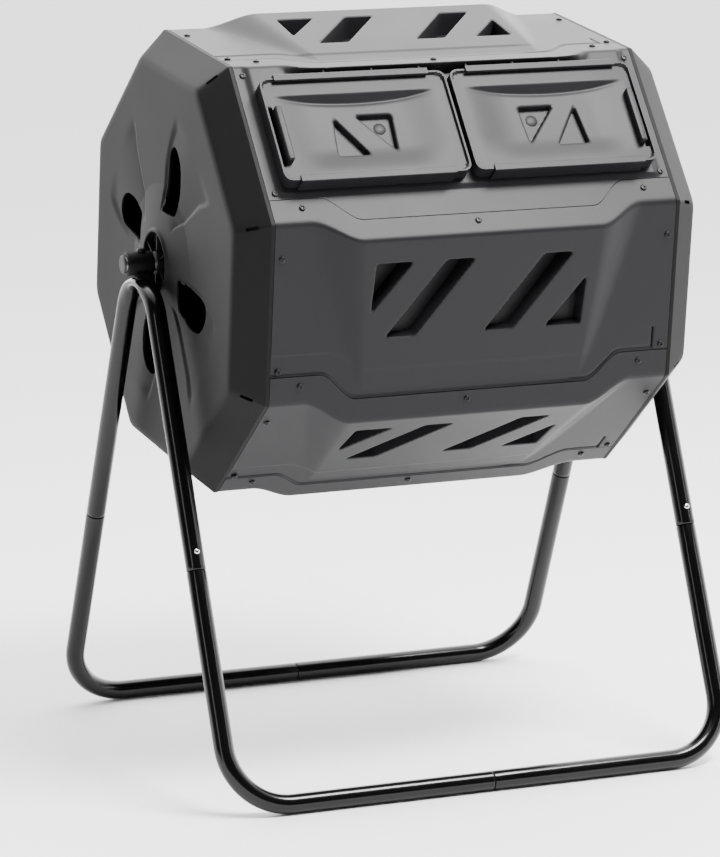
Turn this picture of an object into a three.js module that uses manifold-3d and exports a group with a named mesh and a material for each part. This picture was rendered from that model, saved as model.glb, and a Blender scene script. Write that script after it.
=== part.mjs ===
// Compost tumbler: an octagonal two-chamber plastic barrel that turns on a steel axle,
// carried by a bolted and push-fit stand of bent steel tube.
//
// Millimetres. X runs along the axle, -Y is the front, Z is up; the stand rests on Z = 0.
// "left" is the -X end. Barrel pieces are built with the axle on the X axis, then the whole
// barrel is lifted to the axle and leans forward by BARREL_LEAN, because its doors are heavy.

import * as THREE from "three";
import { ConvexGeometry } from "three/addons/geometries/ConvexGeometry.js";
import { mergeVertices } from "three/addons/utils/BufferGeometryUtils.js";
import Module from "manifold-3d";

const wasm = await Module();
wasm.setup();

// ---------------------------------------------------------------- driving dimensions

const OVERALL = { width: 730, depth: 640, height: 950 };
const SIDES = [
  { name: "left", x: -1 },
  { name: "right", x: 1 },
];
const ENDS = [
  { name: "front", y: -1 },
  { name: "rear", y: 1 },
];
const GAP = 0.3;
const EIGHTH = Math.PI / 4;

const BARREL = {
  apothem: 274, // axis to the flat of a side panel
  halfLength: 270, // to the seam with the end cap
  lean: THREE.MathUtils.degToRad(6.5),
};
const PANEL_HEIGHT = 2 * BARREL.apothem * Math.tan(EIGHTH / 2);
const PANEL = {
  wall: 3,
  crest: 21, // height of the raised wedge at its upper edge
  crestHalf: 160,
  shoulderHalf: 205,
  footHalf: 150,
  footRise: 12,
  seamRise: 34, // flange width at the panel's ends
  seamFlat: 155, // half-length of the stretch where the seam runs along the crease
  borderStart: 2,
};
const POCKET = { floor: -11.5, wall: 2.5, low: 78, high: 176 };

const CAP = {
  lip: 5,
  faceApothem: 243,
  faceX: 312,
  wall: 3,
  skirt: 30,
  hubX: 322.5,
  hubRadius: 42,
  bossRadius: 100,
  ringWall: 3,
  sleeveWall: 3.5,
  ribs: 6,
};
const VENT_OUTLINE = [
  [4, 68],
  [8, 110],
  [12, 142],
  [19, 153],
  [32, 157],
  [48, 150],
  [59, 134],
  [60, 104],
  [46, 69],
];

const DOOR = {
  inner: 3, // |x| of the edge at the middle of the barrel
  outer: 251,
  low: 49,
  high: 195,
  base: 9.5,
  face: 20,
  rim: 21.5,
  wall: 2.5,
  corner: 12,
};
const GRIP = { inner: 236, outer: 246, low: 75, high: 152, top: 28 };
const PLATFORM = { half: 256, low: 40, high: 203, height: 9 };
const DOORWAY = { inner: 22, outer: 232, low: 62, high: 182 };
const RAIL = { inner: 26, outer: 231, wall: 2.5, lip: 9, lipBase: 22, top: 24 };
const RIB = { pitch: 64, steps: [-2.5, -1.5, -0.5, 0.5, 1.5, 2.5], halfThick: 1, top: 18 };
const DOOR_TRIANGLES = [
  [
    [164, 141],
    [125, 83],
    [170, 83],
  ],
  [
    [136, 141],
    [85, 141],
    [89, 85],
  ],
];

const AXLE = { radius: 10, wall: 1.5, halfLength: 362, bore: 10.8 };
const STAND = {
  x: 339, // plane of each A-frame
  tube: 12.5,
  wall: 1.2,
  apexZ: 711, // where the straight legs would meet
  crownBend: 60,
  crownSquash: 0.6, // thickness of the pressed crown over the tube's
  squashFull: 0.35, // angle from the top, in radians, up to which it is fully pressed
  squashEnd: 0.9,
  crownSpread: 0.08, // share by which the pressed crown is wider
  cornerBend: 78,
  jointZ: 288,
  baseJointX: 8,
  spigot: 58,
  spigotRadius: 10.5,
  buttonRise: 22,
};
const STAND_FOOT_Y = OVERALL.depth / 2 - STAND.tube;
const LEG_ANGLE = Math.atan(STAND_FOOT_Y / (STAND.apexZ - STAND.tube));
const CROWN_CENTRE_Z = STAND.apexZ - STAND.crownBend / Math.sin(LEG_ANGLE);
const CROWN_Z = CROWN_CENTRE_Z + STAND.crownBend;
const CROWN_HALF_THICK = STAND.tube * STAND.crownSquash;
const SECTION_SIDES = 12;

const BUTTON = { radius: 3.5, hole: 3.9, top: 15, base: 6.4, flange: 5, flangeThick: 1.2 };
// A snap spring's strip in the leg's section: [out of the leg, down the leg].
const SPRING_STRIP = [
  [1.8, -4],
  [2.2, -3.2],
  [-2.2, 36],
  [-3, 37],
  [-3.8, 36],
  [-7.8, -3.2],
  [-7, -4],
  [-3, 34.5],
];
const SPRING_HALF_WIDTH = 3.4;
const BOLT = {
  shank: 3,
  hole: 3.4,
  headRadius: 5.5,
  headThick: 4,
  nutRadius: 5.8,
  nutThick: 5,
  pastNut: 4,
};
const SADDLE = { sleeve: 15, footX: 11.5, footY: 18 };
const PLUG = { stem: 12, headRadius: 11.5, chamfer: 1 };
const PARTITION = { thick: 3, collar: 16, collarWall: 5 };

// The crest of the top panel is the highest point of the whole object.
const CREST_REACH =
  (BARREL.apothem + PANEL.crest) * Math.cos(BARREL.lean) +
  (PANEL_HEIGHT / 2 - PANEL.crest) * Math.sin(BARREL.lean);
const AXLE_Z = OVERALL.height - CREST_REACH;

// ---------------------------------------------------------------- finishes

function finish(color, roughness, metalness) {
  return () => new THREE.MeshStandardMaterial({ color, roughness, metalness });
}
const FINISHES = {
  panel: finish(0x4d4d50, 0.6, 0),
  cap: finish(0x3f3f41, 0.65, 0),
  frame: finish(0x0b0b0c, 0.2, 0.3),
  black: finish(0x101011, 0.5, 0),
  plug: finish(0x9a9a98, 0.5, 0),
  steel: finish(0xb4b6b8, 0.3, 1),
};

// ---------------------------------------------------------------- solids

function toSolid(geometry) {
  const bare = geometry.clone();
  bare.deleteAttribute("normal");
  bare.deleteAttribute("uv");
  const merged = mergeVertices(bare, 1e-4);
  return new wasm.Manifold(
    new wasm.Mesh({
      numProp: 3,
      vertProperties: merged.attributes.position.array,
      triVerts: new Uint32Array(merged.index.array),
    }),
  );
}

function toGeometry(solid) {
  const { vertProperties, triVerts } = solid.getMesh();
  const geometry = new THREE.BufferGeometry();
  geometry.setAttribute("position", new THREE.BufferAttribute(vertProperties, 3));
  geometry.setIndex(new THREE.BufferAttribute(triVerts, 1));
  return geometry;
}

function join(...solids) {
  return solids.reduce((whole, piece) => whole.add(piece));
}

function cut(solid, ...tools) {
  return tools.reduce((rest, tool) => rest.subtract(tool), solid);
}

// A prism over an outline [[x, y], ...] between two heights.
function prism(outline, low, high) {
  const shape = new THREE.Shape(outline.map(([x, y]) => new THREE.Vector2(x, y)));
  const geometry = new THREE.ExtrudeGeometry(shape, { depth: high - low, bevelEnabled: false });
  return toSolid(geometry.translate(0, 0, low));
}

function block(x, y, z) {
  const size = new THREE.BoxGeometry(x[1] - x[0], y[1] - y[0], z[1] - z[0]);
  return toSolid(size.translate((x[0] + x[1]) / 2, (y[0] + y[1]) / 2, (z[0] + z[1]) / 2));
}

// A profile [[radius, x], ...] turned about the X axis.
function turned(profile, segments) {
  const points = profile.map(([radius, x]) => new THREE.Vector2(radius, x));
  if (THREE.ShapeUtils.area(points) < 0) points.reverse();
  const closed = points.every((point) => point.x > 0);
  if (closed) points.push(points[0].clone());
  const geometry = new THREE.LatheGeometry(points, segments, Math.PI / segments);
  return toSolid(geometry.rotateZ(-Math.PI / 2));
}

// The same with flats at the given apothems: an octagonal ring round the X axis.
function octagonal(profile) {
  return turned(
    profile.map(([apothem, x]) => [apothem / Math.cos(EIGHTH / 2), x]),
    8,
  );
}

// A cylinder from one point to another.
function rod(from, to, radius, segments = 20) {
  const along = to.clone().sub(from);
  const geometry = new THREE.CylinderGeometry(radius, radius, along.length(), segments);
  const turn = new THREE.Quaternion().setFromUnitVectors(
    new THREE.Vector3(0, 1, 0),
    along.clone().normalize(),
  );
  geometry.applyQuaternion(turn);
  return toSolid(geometry.translate(...from.clone().add(to).multiplyScalar(0.5).toArray()));
}

function hull(points) {
  return toSolid(new ConvexGeometry(points.map((point) => new THREE.Vector3(...point))));
}

function placed(solid, matrix) {
  return toSolid(toGeometry(solid).applyMatrix4(matrix));
}

// Moves every corner of a convex outline outwards, so that each edge moves by `distance`.
function grownOutline(outline, distance) {
  const count = outline.length;
  const turn = Math.sign(THREE.ShapeUtils.area(outline.map(([x, y]) => ({ x, y }))));
  const normals = outline.map(([x, y], i) => {
    const [nextX, nextY] = outline[(i + 1) % count];
    const length = Math.hypot(nextX - x, nextY - y);
    return [(turn * (nextY - y)) / length, (turn * (x - nextX)) / length];
  });
  return outline.map(([x, y], i) => {
    const before = normals[(i + count - 1) % count];
    const after = normals[i];
    const scale = distance / (1 + before[0] * after[0] + before[1] * after[1]);
    return [x + (before[0] + after[0]) * scale, y + (before[1] + after[1]) * scale];
  });
}

// ---------------------------------------------------------------- barrel panels

// Carries a panel's own frame (x along the axle, y up the face from its lower crease, z out)
// onto the face whose outward normal stands `angle` above the front.
function faceMatrix(angle) {
  const normal = new THREE.Vector3(0, -Math.cos(angle), Math.sin(angle));
  return new THREE.Matrix4()
    .makeTranslation(...normal.multiplyScalar(BARREL.apothem).toArray())
    .multiply(new THREE.Matrix4().makeRotationX(Math.PI / 2 - angle))
    .multiply(new THREE.Matrix4().makeTranslation(0, -PANEL_HEIGHT / 2, 0));
}

// How far the seam with the panel below stands above the crease, at x.
function seamRise(x) {
  const { seamRise: rise, seamFlat, shoulderHalf } = PANEL;
  return rise * THREE.MathUtils.smoothstep(Math.abs(x), seamFlat, shoulderHalf);
}

// Stations along the panel, dense where the seam curves.
function seamStations(halfLength) {
  const steps = 5;
  const half = [halfLength];
  for (let i = 0; i <= steps; i += 1) {
    const share = i / steps;
    half.push(THREE.MathUtils.lerp(PANEL.shoulderHalf, PANEL.seamFlat, share));
  }
  return [...half.map((x) => -x), ...half.reverse()];
}

function panelHalf() {
  return BARREL.halfLength - GAP;
}

// A plate between the seam, raised by `lift`, and another edge given as points from right to left.
function seamPlate(lift, otherEdge, low, high) {
  const edge = seamStations(panelHalf()).map((x) => [x, seamRise(x) + lift]);
  return prism([...edge, ...otherEdge], low, high);
}

// Face, lower border (let in so that the next panel's flange lies flush) and upper flange.
function panelPlates() {
  const half = panelHalf();
  const { wall, borderStart, crestHalf, shoulderHalf, crest } = PANEL;
  const reveal = 1;
  const overlap = 4;
  const flangeHalf = 170;
  const sunk = -wall - GAP;
  const top = [
    [half, PANEL_HEIGHT],
    [-half, PANEL_HEIGHT],
  ];
  const bottom = [
    [half, borderStart],
    [-half, borderStart],
  ];
  const toFlange = faceMatrix(0).invert().multiply(faceMatrix(EIGHTH));
  const corner = block([-flangeHalf, flangeHalf], [0, 2 * wall], [-wall - 2 * GAP, wall]);
  const face = cut(seamPlate(reveal, top, -wall, 0), placed(corner, toFlange));
  const border = seamPlate(reveal + overlap, bottom, sunk - wall, sunk);
  const stepEdge = seamStations(half)
    .reverse()
    .map((x) => [x, seamRise(x) + reveal]);
  const step = seamPlate(reveal + overlap, stepEdge, sunk - 1, -1);
  const crestEdge = [
    [half, 0],
    [shoulderHalf, 0],
    [crestHalf, -crest * Math.SQRT2],
    [-crestHalf, -crest * Math.SQRT2],
    [-shoulderHalf, 0],
    [-half, 0],
  ];
  const flange = seamPlate(0, crestEdge, -wall, 0);
  return join(face, border, step, placed(flange, toFlange));
}

// The raised wedge: highest at the crest, running out to nothing at the foot. Its upper face
// carries on the next panel's plane.
function wedgePoints(inset) {
  const height = PANEL.crest - inset;
  const slope = inset * Math.SQRT2;
  const base = inset ? -2 * inset : 0;
  const side = [
    [PANEL.crestHalf - inset, PANEL_HEIGHT - height - slope, height],
    [PANEL.shoulderHalf - 2 * inset, PANEL_HEIGHT - base - slope, base],
    [PANEL.footHalf - inset, PANEL.footRise + 2 * inset, base],
  ];
  return [...side, ...side.map(([x, y, z]) => [-x, y, z])];
}

// Two triangles and two slanted slots, each the point reflection of another.
function pocketOutlines() {
  const { low, high } = POCKET;
  const middle = (low + high) / 2;
  const slot = [
    [-124, low],
    [-83, low],
    [-9, high],
    [-49, high],
  ];
  const triangle = [
    [-145, low + 32],
    [-92, high],
    [-143, high],
  ];
  const reflected = (outline) => outline.map(([x, y]) => [-x, 2 * middle - y]);
  return [slot, triangle, reflected(slot), reflected(triangle)];
}

function sidePanel() {
  const outer = wedgePoints(0);
  const below = outer.map(([x, y]) => [x, y, POCKET.floor - POCKET.wall - 1]);
  const reach = hull([...outer, ...below]);
  const shell = cut(join(panelPlates(), hull(outer)), hull(wedgePoints(PANEL.wall)));
  const floor = POCKET.floor;
  return pocketOutlines().reduce((panel, outline) => {
    const liner = prism(grownOutline(outline, POCKET.wall), floor - POCKET.wall, PANEL.crest);
    const hole = prism(outline, floor, 2 * PANEL.crest);
    return cut(join(panel, liner.intersect(reach)), hole);
  }, shell);
}

// ---------------------------------------------------------------- door panel and doors

// A rail of L section that holds a door's long edge: `wallY` is its outer side, `inward` is
// +1 for the lower rail and -1 for the upper one.
function doorRail(side, wallY, inward) {
  const xs = [side * RAIL.inner, side * RAIL.outer].sort((a, b) => a - b);
  const wall = [wallY, wallY + inward * RAIL.wall].sort((a, b) => a - b);
  const lip = [wallY, wallY + inward * RAIL.lip].sort((a, b) => a - b);
  return join(
    block(xs, wall, [PLATFORM.height - 2, RAIL.top]),
    block(xs, lip, [RAIL.lipBase, RAIL.top]),
  );
}

function doorPanel() {
  const { half, low, high, height } = PLATFORM;
  const wall = PANEL.wall;
  const ridge = hull(
    [1, -1].flatMap((side) => [
      [side * PANEL.crestHalf, PANEL_HEIGHT - PANEL.crest, PANEL.crest],
      [side * PANEL.shoulderHalf, PANEL_HEIGHT, 0],
      [side * PANEL.crestHalf, high, -1],
    ]),
  );
  const ribs = RIB.steps.map((step) => {
    const x = step * RIB.pitch;
    return block([x - RIB.halfThick, x + RIB.halfThick], [DOOR.high + 3, high + 4], [0, RIB.top]);
  });
  const raised = block([-half, half], [low, high], [-1, height]);
  const rails = [-1, 1].flatMap((side) => [
    doorRail(side, DOOR.high + 3.5, -1),
    doorRail(side, DOOR.low - 3.5, 1),
  ]);
  const hollow = block(
    [-half + wall, half - wall],
    [low + wall, high - wall],
    [-2 * wall, height - wall],
  );
  const doorways = [-1, 1].map((side) =>
    block(
      [side * DOORWAY.inner, side * DOORWAY.outer].sort((a, b) => a - b),
      [DOORWAY.low, DOORWAY.high],
      [-2 * wall, height + wall],
    ),
  );
  const whole = join(panelPlates(), ridge, raised, ...ribs);
  return join(cut(whole, hollow, ...doorways), ...rails);
}

// The rectangle of a door shrunk by `inset`, with rounded corners.
function doorOutline(side, inset) {
  const radius = DOOR.corner - inset;
  const x0 = DOOR.inner + inset;
  const x1 = DOOR.outer - inset;
  const y0 = DOOR.low + inset;
  const y1 = DOOR.high - inset;
  const corners = [
    [x1 - radius, y1 - radius, 0],
    [x0 + radius, y1 - radius, 1],
    [x0 + radius, y0 + radius, 2],
    [x1 - radius, y0 + radius, 3],
  ];
  const steps = 4;
  return corners.flatMap(([x, y, quarter]) =>
    Array.from({ length: steps + 1 }, (_, i) => {
      const angle = ((quarter + i / steps) * Math.PI) / 2;
      return [side * (x + radius * Math.cos(angle)), y + radius * Math.sin(angle)];
    }),
  );
}

function slidingDoor(side) {
  const { base, face, rim, wall } = DOOR;
  const body = prism(doorOutline(side, 0), base, rim);
  const under = prism(doorOutline(side, wall), base - 1, face - wall);
  const over = prism(doorOutline(side, wall), face, rim + 1);
  const grip = block(
    [side * GRIP.inner, side * GRIP.outer].sort((a, b) => a - b),
    [GRIP.low, GRIP.high],
    [face - 1, GRIP.top],
  );
  const door = join(cut(body, under, over), grip);
  const linerWall = 2;
  return DOOR_TRIANGLES.reduce((shell, triangle) => {
    const outline = triangle.map(([x, y]) => [side * x, y]);
    const liner = prism(grownOutline(outline, linerWall), base, face);
    const hole = prism(outline, base + linerWall, 2 * face);
    return cut(join(shell, liner), hole);
  }, door);
}

// ---------------------------------------------------------------- end caps and partition

// Outer shell: skirt under the panels, lip against their ends, bevel and flat face.
function capShell() {
  const { apothem, halfLength } = BARREL;
  const { lip, faceApothem, faceX, wall, skirt } = CAP;
  const opening = 0.6 * CAP.bossRadius; // closed by the hub
  const skirtOut = apothem - 2 * PANEL.wall - 2 * GAP;
  const skirtIn = skirtOut - wall;
  const inner = faceX - wall;
  return octagonal([
    [skirtOut, halfLength - skirt],
    [skirtOut, halfLength],
    [apothem, halfLength],
    [apothem, halfLength + lip],
    [faceApothem, faceX],
    [opening, faceX],
    [opening, inner],
    [faceApothem - 1.5, inner],
    [skirtIn, halfLength + 2 * lip],
    [skirtIn, halfLength - skirt],
  ]);
}

// Round hub: a low cone up to an open ring, with the bearing sleeve for the axle inside.
function capHub() {
  const { bossRadius, faceX, wall, hubX, hubRadius, ringWall } = CAP;
  const inner = faceX - wall;
  const sleeve = AXLE.bore + CAP.sleeveWall;
  return turned(
    [
      [bossRadius, inner],
      [bossRadius, faceX],
      [hubRadius + 2, hubX - 3],
      [hubRadius, hubX],
      [hubRadius - ringWall, hubX],
      [hubRadius - ringWall, faceX],
      [sleeve, faceX],
      [sleeve, hubX - 1],
      [AXLE.bore, hubX - 1],
      [AXLE.bore, faceX - 14],
      [sleeve, faceX - 14],
      [sleeve, inner],
    ],
    32,
  );
}

function hubRib(angle) {
  const { hubX, hubRadius, faceX } = CAP;
  const rib = block([faceX - 1, hubX - 3], [AXLE.bore + 1.5, hubRadius - 1], [-1, 1]);
  return placed(rib, new THREE.Matrix4().makeRotationX(angle));
}

// One leaf-shaped air vent, `quarter` turns round from the upper front one.
function ventHole(quarter) {
  const { faceX, wall } = CAP;
  const leaf = prism(
    VENT_OUTLINE.map(([across, out]) => [out, -across]),
    faceX - 2 * wall,
    faceX + 2 * wall,
  );
  const upright = new THREE.Matrix4().makeBasis(
    new THREE.Vector3(0, 0, 1),
    new THREE.Vector3(0, 1, 0),
    new THREE.Vector3(-1, 0, 0),
  );
  const turn = new THREE.Matrix4().makeRotationX((quarter * Math.PI) / 2);
  return placed(leaf, turn.multiply(upright));
}

// Modelled for the -X end; the +X cap is the same moulding turned half round the Z axis.
function endCap() {
  const ribs = Array.from({ length: CAP.ribs }, (_, i) => hubRib((2 * Math.PI * i) / CAP.ribs));
  const shell = join(capShell(), capHub(), ...ribs);
  const mirrored = placed(shell, new THREE.Matrix4().makeRotationZ(Math.PI));
  const vents = [0, 1, 2, 3].map(ventHole);
  return cut(mirrored, ...vents);
}

function partition() {
  const rim = BARREL.apothem - 2 * PANEL.wall - 1;
  const { thick, collar: length, collarWall } = PARTITION;
  const plate = octagonal([
    [0, -thick / 2],
    [rim, -thick / 2],
    [rim, thick / 2],
    [0, thick / 2],
  ]);
  const collar = turned(
    [
      [AXLE.bore, -length / 2],
      [AXLE.bore + collarWall, -length / 2],
      [AXLE.bore + collarWall, length / 2],
      [AXLE.bore, length / 2],
    ],
    32,
  );
  const through = new THREE.Vector3(thick, 0, 0);
  const opening = rod(through.clone().negate(), through, AXLE.bore + 2, 32);
  return join(cut(plate, opening), collar);
}

// ---------------------------------------------------------------- stand

// A path through given points with given tangents, one station per point.
class StationPath extends THREE.Curve {
  constructor(points, tangents) {
    super();
    this.points = points;
    this.tangents = tangents;
  }

  at(list, share) {
    const place = share * (list.length - 1);
    const index = Math.min(Math.floor(place), list.length - 2);
    return list[index].clone().lerp(list[index + 1], place - index);
  }

  getPoint(share) {
    return this.at(this.points, share);
  }

  getPointAt(share) {
    return this.at(this.points, share);
  }

  getTangentAt(share) {
    return this.at(this.tangents, share).normalize();
  }
}

// Straight to a corner, round it on an arc, and straight on.
function bentPath(start, corner, end, radius, steps) {
  const ahead = corner.clone().sub(start).normalize();
  const onward = end.clone().sub(corner).normalize();
  const turn = ahead.angleTo(onward);
  const aside = onward.clone().addScaledVector(ahead, -ahead.dot(onward)).normalize();
  const arcStart = corner.clone().addScaledVector(ahead, -radius * Math.tan(turn / 2));
  const points = [start];
  const tangents = [ahead];
  for (let i = 0; i <= steps; i += 1) {
    const angle = (turn * i) / steps;
    const point = arcStart
      .clone()
      .addScaledVector(ahead, radius * Math.sin(angle))
      .addScaledVector(aside, radius * (1 - Math.cos(angle)));
    const tangent = ahead.clone().multiplyScalar(Math.cos(angle));
    points.push(point);
    tangents.push(tangent.addScaledVector(aside, Math.sin(angle)));
  }
  points.push(end);
  tangents.push(onward);
  return new StationPath(points, tangents);
}

function ring(radius, turn) {
  return Array.from({ length: SECTION_SIDES }, (_, i) => {
    const angle = turn + (2 * Math.PI * i) / SECTION_SIDES;
    return new THREE.Vector2(radius * Math.cos(angle), radius * Math.sin(angle));
  });
}

// Hollow round tube along a path, open at both ends. `turn` rolls its facets about its axis.
function tubeAlong(path, turn) {
  const section = new THREE.Shape(ring(STAND.tube, turn));
  section.holes.push(new THREE.Path(ring(STAND.tube - STAND.wall, turn).reverse()));
  return new THREE.ExtrudeGeometry(section, {
    steps: path.points.length - 1,
    extrudePath: path,
    bevelEnabled: false,
  });
}

// Reduced tube end that pushes into the next tube, with its shoulder, from `at` along `ahead`.
function spigot(at, ahead) {
  const { tube, wall, spigotRadius } = STAND;
  const bore = spigotRadius - wall;
  const reach = tube - wall / 2;
  const shoulder = 3; // length of the closing ring inside the tube's end
  const profile = [
    [bore, -shoulder],
    [reach, -shoulder],
    [reach, 0],
    [spigotRadius, 0],
    [spigotRadius, STAND.spigot],
    [bore, STAND.spigot],
  ];
  const turn = new THREE.Quaternion().setFromUnitVectors(new THREE.Vector3(1, 0, 0), ahead);
  const matrix = new THREE.Matrix4().compose(at, turn, new THREE.Vector3(1, 1, 1));
  return placed(turned(profile, SECTION_SIDES), matrix);
}

// Unit vectors of a leg: down along it, and square out of it away from the barrel.
function legFrame(end) {
  const down = new THREE.Vector3(0, end.y * Math.sin(LEG_ANGLE), -Math.cos(LEG_ANGLE));
  const out = new THREE.Vector3(0, end.y * Math.cos(LEG_ANGLE), Math.sin(LEG_ANGLE));
  return { down, out };
}

function legPoint(side, end, z) {
  const y = end.y * (STAND.apexZ - z) * Math.tan(LEG_ANGLE);
  return new THREE.Vector3(side.x * STAND.x, y, z);
}

// Centre of the leg at its snap button.
function buttonPoint(side, end) {
  const { down } = legFrame(end);
  return legPoint(side, end, STAND.jointZ).addScaledVector(down, -STAND.buttonRise);
}

function buttonHole(side, end) {
  const at = buttonPoint(side, end);
  const { out } = legFrame(end);
  return rod(at, at.clone().addScaledVector(out, 2 * STAND.tube), BUTTON.hole, 16);
}

// Presses the crown of the A-frame flat where the saddle sits on it.
function squashCrown(geometry, side) {
  const { crownBend, crownSquash, squashFull, squashEnd, crownSpread } = STAND;
  const position = geometry.attributes.position;
  const middle = side.x * STAND.x;
  for (let i = 0; i < position.count; i += 1) {
    const y = position.getY(i);
    const z = position.getZ(i) - CROWN_CENTRE_Z;
    const around = Math.abs(Math.atan2(y, z));
    const share = 1 - THREE.MathUtils.smoothstep(around, squashFull, squashEnd);
    const radius = Math.hypot(y, z);
    const flat = crownBend + (radius - crownBend) * (1 - share * (1 - crownSquash));
    const wide = (position.getX(i) - middle) * (1 + crownSpread * share);
    if (z > 0) {
      const scale = flat / radius;
      position.setXYZ(i, middle + wide, y * scale, CROWN_CENTRE_Z + z * scale);
    }
  }
  return geometry;
}

// Upright clearance hole through crown, saddle and axle.
function boltHole(side) {
  const bottom = new THREE.Vector3(side.x * STAND.x, 0, CROWN_Z - 2 * STAND.tube);
  const top = new THREE.Vector3(side.x * STAND.x, 0, AXLE_Z + 2 * SADDLE.sleeve);
  return rod(bottom, top, BOLT.hole, 16);
}

// The upper A-frame tube as a full solid, before any hole.
function crownTube(side) {
  const start = legPoint(side, ENDS[0], STAND.jointZ);
  const end = legPoint(side, ENDS[1], STAND.jointZ);
  const apex = new THREE.Vector3(side.x * STAND.x, 0, STAND.apexZ);
  const path = bentPath(start, apex, end, STAND.crownBend, 10);
  return toSolid(squashCrown(tubeAlong(path, 0), side));
}

function frameTop(side) {
  return cut(crownTube(side), boltHole(side), ...ENDS.map((end) => buttonHole(side, end)));
}

// One L-shaped tube: the lower leg, the corner on the floor and half of the base rail.
// Tubes that are opposite each other across the middle are the same; two of the four end in
// a spigot that pushes into the tube beside them.
function lowerLeg(side, end) {
  const { down } = legFrame(end);
  const shoulder = legPoint(side, end, STAND.jointZ).addScaledVector(down, GAP);
  const foot = new THREE.Vector3(side.x * STAND.x, end.y * STAND_FOOT_Y, STAND.tube);
  const jointX = -end.y * STAND.baseJointX;
  const male = side.x * end.y < 0;
  const stop = new THREE.Vector3(jointX + (male ? side.x * GAP : 0), foot.y, foot.z);
  const roll = side.x * end.y * LEG_ANGLE;
  const path = bentPath(shoulder, foot, stop, STAND.cornerBend, 6);
  const tube = toSolid(tubeAlong(path, roll));
  const upper = spigot(shoulder, down.clone().negate());
  const pieces = male ? [spigot(stop, new THREE.Vector3(-side.x, 0, 0))] : [];
  return cut(join(tube, upper, ...pieces), buttonHole(side, end));
}

// Carries a solid built along +X, with +Z down the leg, to the snap button's place.
function alongOut(solid, side, end) {
  const { down, out } = legFrame(end);
  const across = new THREE.Vector3().crossVectors(down, out);
  const matrix = new THREE.Matrix4().makeBasis(out, across, down);
  return placed(solid, matrix.setPosition(buttonPoint(side, end)));
}

// Domed pin on a small flange, along its own +X.
function snapButton(side, end) {
  const { radius, top, base, flange, flangeThick } = BUTTON;
  const profile = [
    [0, base],
    [flange, base],
    [flange, base + flangeThick],
    [radius, base + flangeThick],
    [radius, top - 1.5],
    [radius * 0.7, top - 0.4],
    [0, top],
  ];
  return alongOut(turned(profile, 16), side, end);
}

// Folded V of spring strip inside the leg, under the button; its fold points down the leg.
function snapSpring(side, end) {
  const flat = prism(SPRING_STRIP, -SPRING_HALF_WIDTH, SPRING_HALF_WIDTH);
  return alongOut(placed(flat, new THREE.Matrix4().makeRotationX(Math.PI / 2)), side, end);
}

// ---------------------------------------------------------------- axle hardware

function axleTube() {
  const { radius, wall, halfLength } = AXLE;
  const tube = turned(
    [
      [radius - wall, -halfLength],
      [radius, -halfLength],
      [radius, halfLength],
      [radius - wall, halfLength],
    ],
    24,
  );
  return cut(tube, ...SIDES.map(boltHole).map((hole) => placed(hole, axleDown())));
}

function axleDown() {
  return new THREE.Matrix4().makeTranslation(0, 0, -AXLE_Z);
}

function axleUp() {
  return new THREE.Matrix4().makeTranslation(0, 0, AXLE_Z);
}

// Plastic saddle: a sleeve round the axle on a foot that follows the crown of the A-frame.
function axleSaddle(side) {
  const reach = [CAP.hubX + 3, AXLE.halfLength - 2];
  const sleeve = turned(
    [
      [AXLE.radius + GAP, side.x * reach[0]],
      [SADDLE.sleeve, side.x * reach[0]],
      [SADDLE.sleeve, side.x * reach[1]],
      [AXLE.radius + GAP, side.x * reach[1]],
    ],
    20,
  );
  const middle = side.x * STAND.x;
  const foot = block(
    [middle - SADDLE.footX, middle + SADDLE.footX],
    [-SADDLE.footY, SADDLE.footY],
    [CROWN_Z - AXLE_Z, 0],
  );
  const passage = rod(
    new THREE.Vector3(side.x * CAP.faceX, 0, 0),
    new THREE.Vector3(side.x * OVERALL.width, 0, 0),
    AXLE.radius + GAP,
    20,
  );
  const crown = crownBlank(side);
  const saddle = placed(cut(join(sleeve, foot), passage), axleUp());
  return cut(saddle, crown, boltHole(side));
}

// The space that the pressed crown takes, with clearance, as an upright slab under the saddle.
function crownBlank(side) {
  const radius = STAND.crownBend + CROWN_HALF_THICK + GAP;
  const steps = 12;
  const reach = 0.6; // radians each way, past the ends of the foot
  const halfBase = 40;
  const outline = Array.from({ length: steps + 1 }, (_, i) => {
    const angle = reach * ((2 * i) / steps - 1);
    return [radius * Math.sin(angle), CROWN_CENTRE_Z + radius * Math.cos(angle)];
  });
  const base = [
    [halfBase, CROWN_CENTRE_Z],
    [-halfBase, CROWN_CENTRE_Z],
  ];
  const slab = prism([...outline, ...base], -STAND.tube * 1.6, STAND.tube * 1.6);
  const upright = new THREE.Matrix4().makeBasis(
    new THREE.Vector3(0, 1, 0),
    new THREE.Vector3(0, 0, 1),
    new THREE.Vector3(1, 0, 0),
  );
  return placed(slab, upright.setPosition(side.x * STAND.x, 0, 0));
}

function axlePlug(side) {
  const { radius, wall, halfLength } = AXLE;
  const stem = radius - wall - 2 * GAP;
  const outside = OVERALL.width / 2;
  return turned(
    [
      [0, side.x * (halfLength - PLUG.stem)],
      [stem, side.x * (halfLength - PLUG.stem)],
      [stem, side.x * (halfLength + GAP)],
      [PLUG.headRadius, side.x * (halfLength + GAP)],
      [PLUG.headRadius, side.x * (outside - PLUG.chamfer)],
      [radius, side.x * outside],
      [0, side.x * outside],
    ],
    24,
  );
}

function saddleBolt(side) {
  const at = (z) => new THREE.Vector3(side.x * STAND.x, 0, z);
  const seat = AXLE_Z + SADDLE.sleeve + GAP;
  const low = CROWN_Z - CROWN_HALF_THICK - BOLT.nutThick - BOLT.pastNut;
  const head = rod(at(seat), at(seat + BOLT.headThick), BOLT.headRadius, 18);
  const shank = rod(at(low), at(seat + 1), BOLT.shank, 16);
  return join(head, shank);
}

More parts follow.
